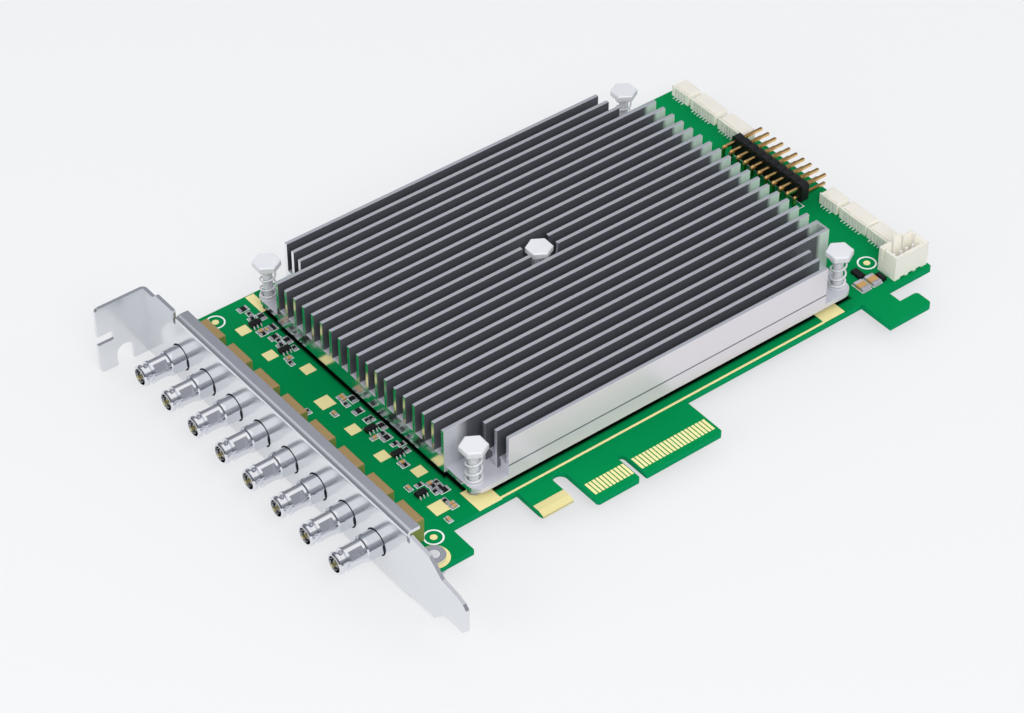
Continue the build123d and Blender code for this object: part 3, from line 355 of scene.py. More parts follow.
@dataclass(frozen=True)
class SidedFinish(Finish):
    """A finish whose upright sides have another colour than its top: the board's sawn edge, painted light and
    shade on the sheet and the nylon, and a painted reflection on the brass.
    """

    # the sides' colour: the board's sawn edge, painted light on the sheet and the nylon, a painted reflection of
    # the board on the brass
    side: Colour = (0, 0, 0)
    side_share: float = 1.0
    side_tilt: Pair = (0.3, 0.7)
    # painted shade for faces that look along -x, on the brass in the gap round the jacks
    front: Colour | None = None
    front_tilt: Pair = (-0.9, -0.7)
    # outlines of pieces close above, under which the top takes a painted shadow
    covers: tuple[tuple[float, float, float, float], ...] = ()
    cover_fade: Pair = (-0.3, 0.45)
    painted_shadow_colour: Colour = (0, 12, 6)

    def painted_shadow_mask(self, w: Wiring) -> Socket:
        """Masks the painted shadow under a piece that stands close above, where no light comes in.

        Args:
            w: the material's wiring.

        Returns:
            The mask's output, 0 in the open and 1 under the piece.
        """
        x, y, _ = w.place()
        deepest = -1.0
        for cover in self.covers:
            left, right, near, far = (edge * MM for edge in cover)
            across = w.maths("MINIMUM", w.maths("SUBTRACT", x, left), w.maths("SUBTRACT", right, x))
            along = w.maths("MINIMUM", w.maths("SUBTRACT", y, near), w.maths("SUBTRACT", far, y))
            deepest = w.maths("MAXIMUM", w.maths("MINIMUM", across, along), deepest)
        return w.spread(deepest, self.cover_fade[0] * MM, self.cover_fade[1] * MM)

    def tone(self, w: Wiring, cloud: Socket, mask: Socket) -> Socket:
        """Gives the top's colour, and the sides' where the surface stands upright.

        Args:
            w: the material's wiring.
            cloud: the slow change of tone.
            mask: the grain's mask.

        Returns:
            The colour's output.
        """
        top = w.blend(w.maths("MULTIPLY", cloud, TOP_CLOUD), linear(self.colour), linear(self.drift))
        facing_x, _, facing_z = w.facing()
        upright = w.spread(w.maths("ABSOLUTE", facing_z), *self.side_tilt, self.side_share, 0.0)
        # the sides' colour with a little grain: the board's sawn edge, and painted light and reflection on the
        # other finishes
        side_tone = w.blend(w.maths("MULTIPLY", mask, SIDE_GRAIN), linear(self.side), linear(self.edge))
        if self.covers:
            # painted shadow on the top under the covers
            top = w.blend(self.painted_shadow_mask(w), top, linear(self.painted_shadow_colour))
        sides = w.blend(upright, top, side_tone)
        if self.front is None:
            return sides
        # painted shade on faces that look along -x
        return w.blend(w.spread(facing_x, *self.front_tilt, 1.0, 0.0), sides, linear(self.front))


@dataclass(frozen=True)
class FinnedFinish(Finish):
    """The heatsink's finish.

    It has painted shade between the fins, painted light on the two open faces with a painted dark line of shade
    along them, bare metal on the sawn ends, painted light in the milled corner and on the low ledges, and a
    painted reflection of the board in pale green at the fins' right ends.
    """

    # painted shade between the fins
    valley_shade: Colour = (0, 0, 0)
    # painted reflection of the board at the fins' right ends
    glint: Colour = (0, 0, 0)
    # painted light on the two open faces
    front: Colour = (0, 0, 0)
    sawn: Colour = (0, 0, 0)
    # a painted dark line of shade along the open faces
    line: Colour = (0, 0, 0)
    # painted light in the milled corner
    corner: Colour = (0, 0, 0)
    # painted light on the low ledges
    ledge: Colour = (0, 0, 0)
    open_y: Pair = (15.8, 97.8)
    corner_end: Pair = (-28.0, 27.0)
    corner_fade: float = 3.0
    ledge_z: float = 6.5
    glint_x: Pair = (72.2, 73.4)
    groove_shade_z: Pair = (5.8, 6.2)

    def tone(self, w: Wiring, cloud: Socket, mask: Socket) -> Socket:
        """Gives the colour of the tops, the fins' sides, the open faces and the sawn ends, with the painted light
        and shade.

        Args:
            w: the material's wiring.
            cloud: the slow change of tone.
            mask: the grain's mask.

        Returns:
            The colour's output.
        """
        body = super().tone(w, cloud, mask)
        x, y, z = w.place()
        side = w.maths("GREATER_THAN", w.maths("ABSOLUTE", w.facing()[1]), SQUARE_ON)
        outside = w.maths("ADD", w.maths("LESS_THAN", y, self.open_y[0] * MM),
                          w.maths("GREATER_THAN", y, self.open_y[1] * MM))
        opened = w.maths("MULTIPLY", side, outside)
        lit = w.spread(x, self.glint_x[0] * MM, self.glint_x[1] * MM)
        # the fins' sides: painted shade between them, and a painted reflection of the board at their right ends
        fin = w.blend(lit, linear(self.valley_shade), linear(self.glint))
        corner_x, corner_y = self.corner_end
        # painted light in the milled corner
        milled = w.maths("MULTIPLY", w.spread(x, (corner_x - self.corner_fade) * MM, corner_x * MM, 1.0, 0.0),
                         w.maths("LESS_THAN", y, corner_y * MM))
        fin = w.blend(milled, fin, linear(self.corner))
        # painted light on the low ledges
        body = w.blend(w.maths("LESS_THAN", z, self.ledge_z * MM), body, linear(self.ledge))
        colour = w.blend(w.maths("SUBTRACT", side, opened), body, fin)
        # painted light on the open faces
        colour = w.blend(opened, colour, linear(self.front))
        colour = w.blend(self.polish(w), colour, linear(self.sawn))
        # a painted dark line of shade along the open faces
        on_groove_shade = w.maths("MULTIPLY", w.maths("GREATER_THAN", z, self.groove_shade_z[0] * MM),
                          w.maths("LESS_THAN", z, self.groove_shade_z[1] * MM))
        return w.blend(w.maths("MULTIPLY", on_groove_shade, opened), colour, linear(self.line))

    def polish(self, w: Wiring) -> Socket:
        """Gives the mask of the sawn ends."""
        return w.maths("GREATER_THAN", w.maths("ABSOLUTE", w.facing()[0]), SQUARE_ON)


# Meshes made in code, in millimetres

class Former:
    """Gathers closed shapes in one mesh."""

    def __init__(self) -> None:
        """Starts with an empty mesh."""
        self.bm = bmesh.new()

    def ring(self, corners: list[Point]) -> list[bmesh.types.BMVert]:
        """Adds the corners of one level."""
        return [self.bm.verts.new(metres(corner)) for corner in corners]

    def stack(self, rings: list[list[Point]]) -> None:
        """Adds a closed shape through rings of corners, lowest first.

        Args:
            rings: the corners of each level in order, as many in each.
        """
        levels = [self.ring(corners) for corners in rings]
        self.bm.faces.new(levels[0][::-1])
        self.bm.faces.new(levels[-1])
        for low, high in zip(levels, levels[1:]):
            for i in range(len(low)):
                j = (i + 1) % len(low)
                self.bm.faces.new((low[i], low[j], high[j], high[i]))

    def prism(self, outline: list[Pair], low: float, high: float) -> None:
        """Adds an upright shape over a flat outline, between two heights."""
        self.stack([[(x, y, z) for x, y in outline] for z in (low, high)])

    def band(self, outer: list[Pair], inner: list[Pair], low: float, high: float) -> None:
        """Adds a flat closed band between two outlines with the same number of corners.

        Args:
            outer: the outside corners in order.
            inner: the inside corners in order.
            low: the height of its underside.
            high: the height of its top.
        """
        out_low, in_low, out_high, in_high = (self.ring([(x, y, z) for x, y in outline])
                                              for z in (low, high) for outline in (outer, inner))
        for i in range(len(outer)):
            j = (i + 1) % len(outer)
            for one, other in ((out_high, in_high), (in_low, out_low), (out_low, out_high), (in_high, in_low)):
                self.bm.faces.new((one[i], one[j], other[j], other[i]))

    def piece(self, name: str, material: Material) -> Thing:
        """Closes the mesh and makes it an object.

        Args:
            name: the object's name.
            material: its finish.

        Returns:
            The new object, at the origin.
        """
        bmesh.ops.remove_doubles(self.bm, verts=self.bm.verts, dist=1e-7)
        bmesh.ops.recalc_face_normals(self.bm, faces=self.bm.faces)
        mesh = bpy.data.meshes.new(name)
        self.bm.to_mesh(mesh)
        self.bm.free()
        mesh.materials.append(material)
        shade_round(mesh, FORMED_ROUND)
        return linked(name, mesh)


def circle(x: float, y: float, radius: float, steps: int = 40) -> list[Pair]:
    """Gives the corners of a round outline in order."""
    return [(x + radius * math.cos(2 * math.pi * i / steps), y + radius * math.sin(2 * math.pi * i / steps))
            for i in range(steps)]


def oblong(x0: float, x1: float, y0: float, y1: float) -> list[Pair]:
    """Gives the corners of an oblong by its sides."""
    return [(x0, y0), (x1, y0), (x1, y1), (x0, y1)]


@dataclass(frozen=True)
class Block:
    """The box round one separate solid of a CAD node, in millimetres."""

    low: Vector
    high: Vector

    @property
    def middle(self) -> Vector:
        """The box's centre."""
        return (self.low + self.high) / 2

    @property
    def size(self) -> Vector:
        """The box's sides."""
        return self.high - self.low


def solids_of(node: str) -> list[Block]:
    """Finds the boxes round a node's separate solids.

    Args:
        node: the CAD node's name.

    Returns:
        One box a solid, in millimetres.
    """
    bm = bmesh.new()
    bm.from_mesh(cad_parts[node].data)
    bmesh.ops.remove_doubles(bm, verts=bm.verts, dist=1e-6)
    left = set(bm.verts)
    found = []
    while left:
        island = [left.pop()]
        reached = list(island)
        while reached:
            for link in reached.pop().link_edges:
                for vert in link.verts:
                    if vert in left:
                        left.discard(vert)
                        island.append(vert)
                        reached.append(vert)
        places = [v.co / MM for v in island]
        found.append(Block(Vector([min(p[i] for p in places) for i in range(3)]),
                           Vector([max(p[i] for p in places) for i in range(3)])))
    bm.free()
    return sorted(found, key=lambda b: (round(b.low.x, 2), round(b.low.y, 2)))


def joined(first: Block, second: Block) -> Block:
    """Gives the box round two boxes."""
    return Block(Vector([min(first.low[i], second.low[i]) for i in range(3)]),
                 Vector([max(first.high[i], second.high[i]) for i in range(3)]))


def touching(first: Block, second: Block, reach: float = 0.05) -> bool:
    """Tells whether two boxes touch."""
    return all(first.low[i] < second.high[i] + reach and second.low[i] < first.high[i] + reach for i in range(3))


def two_ended_chips() -> list[tuple[Block, list[Block]]]:
    """Pairs each small chip's body with its two metal ends.

    Returns:
        The box round each whole chip, and the boxes of its ends.
    """
    ends = solids_of("chip_terminals")
    chips = []
    for node in ("chip_resistors", "chip_capacitors", "large_capacitors"):
        for body in solids_of(node):
            own = [end for end in ends if touching(body, end)]
            whole = body
            for end in own:
                whole = joined(whole, end)
            chips.append((whole, own))
    return chips


# Geometry Nodes for what repeats

class Repeater:
    """A Geometry Nodes tree with named inputs, run once on a mesh of places."""

    def __init__(self, name: str, inputs: dict[str, str]) -> None:
        """Starts the tree.

        Args:
            name: the tree's name.
            inputs: input name to socket type, besides the places and the material.
        """
        takes = {"Places": "NodeSocketGeometry", **inputs, "Finish": "NodeSocketMaterial"}
        self.w, given, self.out = open_group(name, takes, {"Geometry": "NodeSocketGeometry"},
                                             "GeometryNodeTree")
        self.given = given.outputs

    def turned(self) -> dict[str, Socket]:
        """Turns each copy about the upright by the turn that its place has.

        Returns:
            What the copies take for it.
        """
        turn = self.w.add("GeometryNodeInputNamedAttribute", {"Name": "turn"}, data_type="FLOAT")
        spin = self.w.add("ShaderNodeCombineXYZ", {2: turn.outputs[0]})
        return {"Rotation": self.w.add("FunctionNodeEulerToRotation", {0: spin.outputs[0]}).outputs[0]}

    def close(self, shape: Socket, extra: dict[str, Socket] | None = None) -> None:
        """Sets the shape on each place and ends the tree in real geometry with its material.

        Args:
            shape: the output that holds the shape.
            extra: what else the copies take.
        """
        placed = self.w.add("GeometryNodeInstanceOnPoints", {"Points": self.given["Places"], "Instance": shape,
                                                             **(extra or {})})
        real = self.w.add("GeometryNodeRealizeInstances", {0: placed.outputs[0]})
        coat = self.w.add("GeometryNodeSetMaterial", {"Geometry": real.outputs[0],
                                                      "Material": self.given["Finish"]})
        self.w.give(self.out, Geometry=coat.outputs[0])

    def run(self, name: str, places: list[Point], finish: Material, values: dict[str, object],
            marks: dict[str, list] | None = None) -> Thing:
        """Runs the tree and keeps its result as a plain mesh.

        Args:
            name: the new object's name.
            places: where each copy stands, in millimetres.
            finish: the copies' material.
            values: input name to its value.
            marks: attribute name to one value a place.

        Returns:
            The new object, at the origin.
        """
        seed = bpy.data.meshes.new(name + "_places")
        seed.from_pydata([metres(place) for place in places], [], [])
        for label, listed in (marks or {}).items():
            plain = isinstance(listed[0], (int, float))
            store = seed.attributes.new(label, "FLOAT" if plain else "FLOAT_VECTOR", "POINT")
            for item, value in zip(store.data, listed):
                setattr(item, "value" if plain else "vector", value)
        holder = linked(name + "_places", seed)
        modifier = holder.modifiers.new("repeat", "NODES")
        modifier.node_group = self.w.tree
        sockets = {item.name: item.identifier for item in self.w.tree.interface.items_tree
                   if item.item_type == "SOCKET" and item.in_out == "INPUT"}
        for label, value in {**values, "Finish": finish}.items():
            modifier[sockets[label]] = value
        bpy.context.view_layer.update()
        ready = holder.evaluated_get(bpy.context.evaluated_depsgraph_get())
        mesh = bpy.data.meshes.new_from_object(ready)
        holder.modifiers.clear()
        bpy.data.objects.remove(holder)
        mesh.name = name
        bm = bmesh.new()
        bm.from_mesh(mesh)
        bmesh.ops.remove_doubles(bm, verts=bm.verts, dist=1e-8)
        bmesh.ops.recalc_face_normals(bm, faces=bm.faces)
        bm.to_mesh(mesh)
        bm.free()
        if not mesh.materials:
            mesh.materials.append(finish)
        shade_round(mesh, REPEATED_ROUND)
        return linked(name, mesh)


def wire_spring_tree() -> Repeater:
    """Makes the tree that winds a compression spring with closed ends on each place.

    Returns:
        The tree, whose sizes are in metres.
    """
    kit = Repeater("wire_spring", {label: "NodeSocketFloat"
                                   for label in ("Turns", "Coil Radius", "Wire Radius", "Rise")})
    w, given = kit.w, kit.given
    line = w.add("GeometryNodeCurvePrimitiveLine")
    count = w.maths("MULTIPLY", given["Turns"], STEPS_A_TURN)
    fine = w.add("GeometryNodeResampleCurve", {"Curve": line.outputs[0], "Count": count})
    along = w.add("GeometryNodeSplineParameter").outputs["Factor"]
    angle = w.maths("MULTIPLY", w.maths("MULTIPLY", along, given["Turns"]), 2 * math.pi)
    ease = w.add("ShaderNodeMapRange", {"Value": along}, interpolation_type="SMOOTHSTEP").outputs[0]
    clear = w.maths("SUBTRACT", given["Rise"], w.maths("MULTIPLY", given["Wire Radius"], 2.0))
    height = w.maths("ADD", w.maths("MULTIPLY", ease, clear), given["Wire Radius"])
    where = w.add("ShaderNodeCombineXYZ", {
        0: w.maths("MULTIPLY", w.maths("COSINE", angle), given["Coil Radius"]),
        1: w.maths("MULTIPLY", w.maths("SINE", angle), given["Coil Radius"]), 2: height})
    coil = w.add("GeometryNodeSetPosition", {"Geometry": fine.outputs[0], "Position": where.outputs[0]})
    wire = w.add("GeometryNodeCurvePrimitiveCircle", {"Resolution": WIRE_SIDES, "Radius": given["Wire Radius"]})
    tube = w.add("GeometryNodeCurveToMesh", {"Curve": coil.outputs[0], "Profile Curve": wire.outputs[0],
                                             "Fill Caps": True})
    kit.close(tube.outputs[0])
    return kit


class StripBender(Repeater):
    """The tree that sweeps one flat or square strip along a path and repeats it on each place."""

    def __init__(self) -> None:
        """Makes the tree, whose sizes are in metres."""
        super().__init__("formed_strip", {"Path": "NodeSocketObject", "Width": "NodeSocketFloat",
                                          "Thickness": "NodeSocketFloat"})
        w, given = self.w, self.given
        path = w.add("GeometryNodeObjectInfo", {"Object": given["Path"]})
        line = w.add("GeometryNodeMeshToCurve", {"Mesh": path.outputs["Geometry"]})
        girth = w.add("GeometryNodeInputNamedAttribute", {"Name": "girth"}, data_type="FLOAT")
        sized = w.add("GeometryNodeSetCurveRadius", {"Curve": line.outputs[0], "Radius": girth.outputs[0]})
        section = w.add("GeometryNodeCurvePrimitiveQuadrilateral", {"Width": given["Thickness"],
                                                                    "Height": given["Width"]})
        radius = w.add("GeometryNodeInputRadius").outputs[0]
        strip = w.add("GeometryNodeCurveToMesh", {"Curve": sized.outputs[0], "Scale": radius,
                                                  "Profile Curve": section.outputs[0], "Fill Caps": True})
        self.close(strip.outputs[0], self.turned())

    def bend(self, name: str, line: list[Point], places: list[Point], finish: Material, section: Pair,
             turns: list[float] | None = None, girths: list[float] | None = None) -> Thing:
        """Bends one strip along a line and repeats it.

        Args:
            name: the new object's name.
            line: the line's corners in millimetres.
            places: where each copy stands.
            finish: the strips' material.
            section: the strip's width and thickness.
            turns: how far each copy is turned about the upright, if it is.
            girths: the strip's share of its full section at each corner, if it changes.

        Returns:
            The strips as one piece.
        """
        mesh = bpy.data.meshes.new(name + "_path")
        mesh.from_pydata([metres(point) for point in line], [(i, i + 1) for i in range(len(line) - 1)], [])
        store = mesh.attributes.new("girth", "FLOAT", "POINT")
        store.data.foreach_set("value", girths or [1.0] * len(line))
        path = linked(name + "_path", mesh)
        values = {"Path": path, "Width": section[0] * MM, "Thickness": section[1] * MM}
        piece = self.run(name, places, finish, values, {"turn": turns or [0.0] * len(places)})
        bpy.data.objects.remove(path)
        return piece


def end_cap_tree() -> Repeater:
    """Makes the tree that sets one shape on each place, turned and drawn out to that place's span.

    Returns:
        The tree.
    """
    kit = Repeater("end_cap", {"Shape": "NodeSocketObject"})
    shape = kit.w.add("GeometryNodeObjectInfo", {"Object": kit.given["Shape"]})
    span = kit.w.add("GeometryNodeInputNamedAttribute", {"Name": "span"}, data_type="FLOAT_VECTOR")
    kit.close(shape.outputs["Geometry"], {**kit.turned(), "Scale": span.outputs[0]})
    return kit


def rounded_path(corners: list[Pair], radius: float, steps: int = 3) -> list[Point]:
    """Rounds the inner corners of a path in the x and z plane, as a bent strip has them.

    Args:
        corners: the path's corners.
        radius: the bend's radius.
        steps: how many runs each bend has.

    Returns:
        The points of the rounded path, with y at zero.
    """
    points = [Vector(corners[0])]
    for before, here, after in zip(corners, corners[1:], corners[2:]):
        back = (Vector(before) - Vector(here)).normalized()
        ahead = (Vector(after) - Vector(here)).normalized()
        start = Vector(here) + back * radius
        end = Vector(here) + ahead * radius
        for i in range(steps + 1):
            t = i / steps
            points.append((1 - t) ** 2 * start + 2 * t * (1 - t) * Vector(here) + t ** 2 * end)
    points.append(Vector(corners[-1]))
    return [(p.x, 0.0, p.y) for p in points]


# Finishes of the card

RECIPES: dict[str, Finish] = {
    # the board's covers are the heatsink's outline, under which its top takes a painted shadow
    "board": SidedFinish(
        "solder_mask_green", (0, 128, 70), (0, 135, 74), (30, 168, 110), roughness=0.55, grain_size=0.5,
        grain_height=0.003, cloud_size=30.0, edge_share=0.4, edge_radius=0.1, gloss=0.03, side=(0, 150, 92),
        covers=((-34.5, 76.0, 25.6, 88.0), (-33.9, 75.4, 15.8, 98.3))),
    "gold": Finish(
        "flash_gold", (244, 232, 170), (240, 226, 160), (255, 240, 196), metallic=0.1, roughness=0.45,
        grain_size=0.3, grain_height=0.003, cloud_size=6.0, edge_radius=0.1, gloss=0.12),
    "guide_gold": Finish(
        "rubbed_gold", (220, 209, 153), (216, 204, 144), (250, 234, 190), metallic=0.1, roughness=0.48,
        grain_size=0.3, grain_height=0.003, cloud_size=6.0, edge_radius=0.1, gloss=0.1),
    # the heatsink: painted shade between the fins, painted light on the open faces, the corner and the ledges, a
    # painted dark line of shade and a painted reflection of the board
    "sink": FinnedFinish(
        "extruded_aluminium", (164, 166, 173), (158, 160, 167), (212, 213, 219), metallic=0.25, roughness=0.36,
        rough_spread=0.04, grain=Grain.ALONG_X, grain_size=0.35, grain_height=0.001, cloud_size=40.0,
        edge_radius=0.1, valley_shade=(90, 91, 97), glint=(204, 220, 210), front=(229, 223, 229),
        sawn=(240, 241, 244), line=(112, 111, 122), corner=(206, 206, 213), ledge=(206, 206, 214)),
    # the sheet's tops are darker and its upright sides lighter: painted shade and painted light
    "sheet": SidedFinish(
        "bright_sheet_steel", (190, 192, 199), (186, 188, 195), (240, 241, 244), metallic=0.82, roughness=0.16,
        rough_spread=0.02, grain=Grain.ALONG_Y, grain_size=0.3, grain_height=0.0005, cloud_size=40.0,
        edge_radius=0.06, edge_share=0.2, side=(228, 230, 233)),
    "nickel": Finish(
        "turned_nickel", (232, 233, 238), (226, 228, 233), (248, 249, 252), metallic=1.0, roughness=0.07,
        rough_spread=0.02, grain=Grain.ROUND_X, grain_size=0.12, grain_height=0.001, cloud_size=8.0,
        edge_radius=0.08),
    "bolt": Finish(
        "white_zinc", (219, 219, 222), (214, 214, 218), (250, 250, 252), metallic=0.15, roughness=0.36,
        grain_size=0.15, grain_height=0.003, cloud_size=5.0),
    "spring": Finish(
        "drawn_wire", (236, 236, 239), (228, 228, 232), (250, 250, 252), metallic=0.35, roughness=0.25,
        grain_size=0.1, grain_height=0.002, cloud_size=4.0, edge_share=0.3),
    # the brass: a painted reflection of the green board on its sides, painted shade on faces that look along -x
    # in the gap round the jacks, and a painted orange highlight on its edges
    "block": SidedFinish(
        "tarnished_brass", (164, 138, 90), (156, 130, 84), (236, 156, 108), metallic=0.2, roughness=0.42,
        grain_size=0.2, grain_height=0.004, cloud_size=9.0, edge_radius=0.2, edge_share=0.8,
        side=(104, 146, 66), side_share=0.9, front=(22, 20, 18)),
    "pin": Finish(
        "pin_gold", (236, 196, 132), (222, 178, 112), (255, 234, 186), metallic=1.0, roughness=0.2,
        grain=Grain.ALONG_X, grain_size=0.12, grain_height=0.0015, cloud_size=5.0, edge_radius=0.08),
    "tin": Finish(
        "bright_tin", (246, 244, 246), (238, 236, 239), (252, 252, 252), metallic=0.2, roughness=0.3,
        grain_size=0.12, grain_height=0.003, cloud_size=3.0),
    "solder": Finish(
        "soldered_ends", (190, 187, 196), (180, 177, 186), (238, 238, 242), metallic=0.35, roughness=0.3,
        grain_size=0.12, grain_height=0.003, cloud_size=3.0),
    # the nylon's upright sides are lighter than its top: painted light
    "cream": SidedFinish(
        "cream_nylon", (222, 217, 207), (217, 212, 201), (244, 242, 236), roughness=0.52, grain_size=0.12,
        grain_height=0.006, cloud_size=6.0, edge_radius=0.1, edge_share=0.3, gloss=0.35, side=(246, 242, 230)),
    "black": Finish(
        "black_nylon", (26, 26, 28), (20, 20, 22), (62, 62, 68), roughness=0.5, grain_size=0.1,
        grain_height=0.006, cloud_size=6.0, gloss=0.3),
    "chip": Finish(
        "chip_resin", (20, 19, 22), (27, 25, 29), (56, 54, 60), roughness=0.55, grain_size=0.06,
        grain_height=0.006, cloud_size=3.0, edge_radius=0.08, gloss=0.25),
    "insulator": Finish(
        "white_insulator", (214, 212, 204), (204, 201, 192), (236, 234, 228), roughness=0.5, grain_size=0.1,
        grain_height=0.004, cloud_size=3.0),
    "pad": Finish(
        "grey_gap_pad", (132, 136, 142), (122, 126, 132), (150, 154, 160), roughness=0.8, grain_size=0.25,
        grain_height=0.02, cloud_size=7.0),
    "tan": Finish(
        "capacitor_tan", (198, 156, 96), (188, 146, 88), (222, 182, 130), roughness=0.45, grain_size=0.08,
        grain_height=0.004, cloud_size=2.0, edge_radius=0.06),
    "ink": Finish(
        "white_ink", (244, 246, 246), (236, 240, 239), (250, 251, 251), roughness=0.6, grain_size=0.12,
        grain_height=0.004, cloud_size=5.0, edge_radius=0.03),
}


class Finishes:
    """Every finish of the card, built once."""

    def __init__(self) -> None:
        """Builds the materials."""
        kit = ShaderKit()
        self.made = {name: recipe.build(kit) for name, recipe in RECIPES.items()}

    def __getitem__(self, name: str) -> Material:
        """Gives one finish by its name."""
        return self.made[name]


def dress(material: Material, *nodes: str) -> None:
    """Gives CAD nodes a finish and leaves their meshes as they are.

    Args:
        material: the finish.
        nodes: the nodes' names.
    """
    for node in nodes:
        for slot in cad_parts[node].material_slots:
            slot.material = material


def settle(piece: Thing, slot: str, *stands_for: str) -> None:
    """Makes a finished piece part of the card.

    Args:
        piece: the object.
        slot: a material slot's name; it is not used.
        stands_for: the CAD nodes that it stands for, if any.
    """
    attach(piece, "root")
    if stands_for:
        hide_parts(*stands_for)
    LOG.info("%s: %d faces", piece.name, len(piece.data.polygons))


# Sub-assemblies

@dataclass
class Assembly:
    """A sub-assembly of the card, with the finishes and the tree that sweeps strips."""

    nodes: ClassVar[Coats] = {}
    finishes: Finishes
    strips: StripBender

    def build(self) -> None:
        """Dresses the CAD nodes and adds the finer pieces."""
        for finish, nodes in self.nodes.items():
            dress(self.finishes[finish], *nodes)
        LOG.info("%s: %d nodes dressed", type(self).__name__, sum(len(nodes) for nodes in self.nodes.values()))
        self.refine()

    def refine(self) -> None:
        """Adds the pieces that are finer than the CAD form, if there are any."""


class SlotBracket(Assembly):
    """The sheet steel slot bracket and its two screws."""

    nodes: ClassVar[Coats] = {"sheet": ("bracket",), "bolt": ("bracket_screws",)}


class CoaxRow(Assembly):
    """The eight coax jacks along the bracket."""

    nodes: ClassVar[Coats] = {
        "nickel": tuple(f"coax_barrel_{i}" for i in range(1, 9)),
        "block": tuple(f"coax_block_{i}" for i in range(1, 9)),
        "insulator": ("coax_insulators",), "gold": ("coax_contacts",)}


class FinnedSink(Assembly):
    """The extruded heatsink, the pads under it and the chips that it covers."""

    nodes: ClassVar[Coats] = {"sink": ("heatsink",), "pad": ("thermal_pads",),
                              "chip": ("processor", "video_receivers", "memory_chips")}


class BoxHeader(Assembly):
    """The taller cream header near the card's front corner."""

    nodes: ClassVar[Coats] = {"cream": ("box_header_housing",), "tin": ("box_header_pins",)}


@dataclass
class PrintedBoard(Assembly):
    """The green board, its plating and its printed marks."""

    nodes: ClassVar[Coats] = {"board": ("board",), "gold": ("edge_fingers", "solder_pads"),
                              "guide_gold": ("guide_plating",)}
    print_lift: float = 0.004
    print_height: float = 0.03
    line: float = 0.16
    margin: float = 0.13
    ring_outer: float = 2.33
    ring_line: float = 0.4
    fiducials: tuple[Pair, ...] = ((-46.95, 12.8), (-44.5, 98.7), (86.67, 23.0))
    header_mark: tuple[Pair, ...] = ((89.1, 72.7), (89.3, 47.6), (87.7, 47.6))

    def refine(self) -> None:
        """Prints the white rings, the chips' outlines and the mark beside the pin header."""
        marks = Former()
        low, high = self.print_lift, self.print_lift + self.print_height
        for x, y in self.fiducials:
            marks.band(circle(x, y, self.ring_outer), circle(x, y, self.ring_outer - self.ring_line), low, high)
        for chip, _ in two_ended_chips():
            x0, y0 = chip.low.x - self.margin, chip.low.y - self.margin
            x1, y1 = chip.high.x + self.margin, chip.high.y + self.margin
            marks.band(oblong(x0 - self.line, x1 + self.line, y0 - self.line, y1 + self.line),
                       oblong(x0, x1, y0, y1), low, high)
        top, corner, turn = self.header_mark
        half = self.line / 2
        marks.prism([(corner[0] - half, corner[1]), (corner[0] + half, corner[1]), (top[0] + half, top[1]),
                     (top[0] - half, top[1])], low, high)
        marks.prism(oblong(turn[0], corner[0] - half, corner[1], corner[1] + self.line), low, high)
        settle(marks.piece("printed_marks", self.finishes["ink"]), "insulator_white")


@dataclass
class SprungBolts(Assembly):
    """The five bolts that hold the heatsink down through springs."""

    nodes: ClassVar[Coats] = {"bolt": ("heatsink_bolts", "heatsink_nuts", "heatsink_washers")}
    coil_radius: float = 1.8
    wire_radius: float = 0.24
    corner_turns: float = 4.5
    middle_turns: float = 3.5
    tall_within: float = 0.5

    def refine(self) -> None:
        """Winds the springs, the tall ones at the corners first."""
        springs = solids_of("heatsink_springs")
        tall = max(spring.size.z for spring in springs) - self.tall_within
        tree = wire_spring_tree()
        for label, turns, chosen in (
                ("corner", self.corner_turns, [s for s in springs if s.size.z > tall]),
                ("middle", self.middle_turns, [s for s in springs if s.size.z <= tall])):
            rise = chosen[0].high.z - chosen[0].low.z
            places = [(s.middle.x, s.middle.y, s.low.z) for s in chosen]
            piece = tree.run(f"springs_{label}", places, self.finishes["spring"], {
                "Turns": turns, "Coil Radius": self.coil_radius * MM, "Wire Radius": self.wire_radius * MM,
                "Rise": rise * MM})
            settle(piece, "spring_steel", "heatsink_springs")


@dataclass
class PinHeader(Assembly):
    """The two-row right-angle header."""

    nodes: ClassVar[Coats] = {"black": ("header_body",)}
    side: float = 0.64
    bend: float = 0.55
    bend_steps: int = 4
    taper: float = 0.25
    tip_share: float = 0.75

    def refine(self) -> None:
        """Bends the pins, row by row."""
        rows: dict[float, list[Block]] = {}
        for pin in solids_of("header_pins"):
            rows.setdefault(round(pin.low.x, 1), []).append(pin)
        half = self.side / 2
        for number, row in enumerate(rows.values(), 1):
            foot, tip, top = row[0].low.x + half, row[0].high.x, row[0].high.z - half
            line = rounded_path([(foot, row[0].low.z), (foot, top), (tip - self.taper, top)], self.bend,
                                self.bend_steps)
            line.append((tip, 0.0, top))
            line.insert(1, (line[0][0], 0.0, line[0][2] + self.taper))
            girths = [self.tip_share] + [1.0] * (len(line) - 2) + [self.tip_share]
            piece = self.strips.bend(f"header_pins_row_{number}", line, [(0.0, p.middle.y, 0.0) for p in row],
                                     self.finishes["pin"], (self.side, self.side), girths=girths)
            settle(piece, "gold_plate", "header_pins")


@dataclass
class SideEntryRow(Assembly):
    """The six small cream connectors along the far end."""

    nodes: ClassVar[Coats] = {"cream": tuple(f"wafer_housing_{name}" for name in "abcdef")}
    lead_width: float = 0.36
    lead_thickness: float = 0.15
    foot: float = 1.08
    bend: float = 0.18

    def refine(self) -> None:
        """Bends the leads of all six."""
        leads = solids_of("wafer_leads")
        start, end = leads[0].low.x, leads[0].high.x
        half = self.lead_thickness / 2
        top = leads[0].high.z - half
        line = rounded_path([(start, half), (start + self.foot, half), (start + self.foot, top), (end, top)],
                            self.bend)
        piece = self.strips.bend("wafer_leads_bent", line, [(0.0, lead.middle.y, 0.0) for lead in leads],
                                 self.finishes["tin"], (self.lead_width, self.lead_thickness))
        settle(piece, "tin", "wafer_leads")


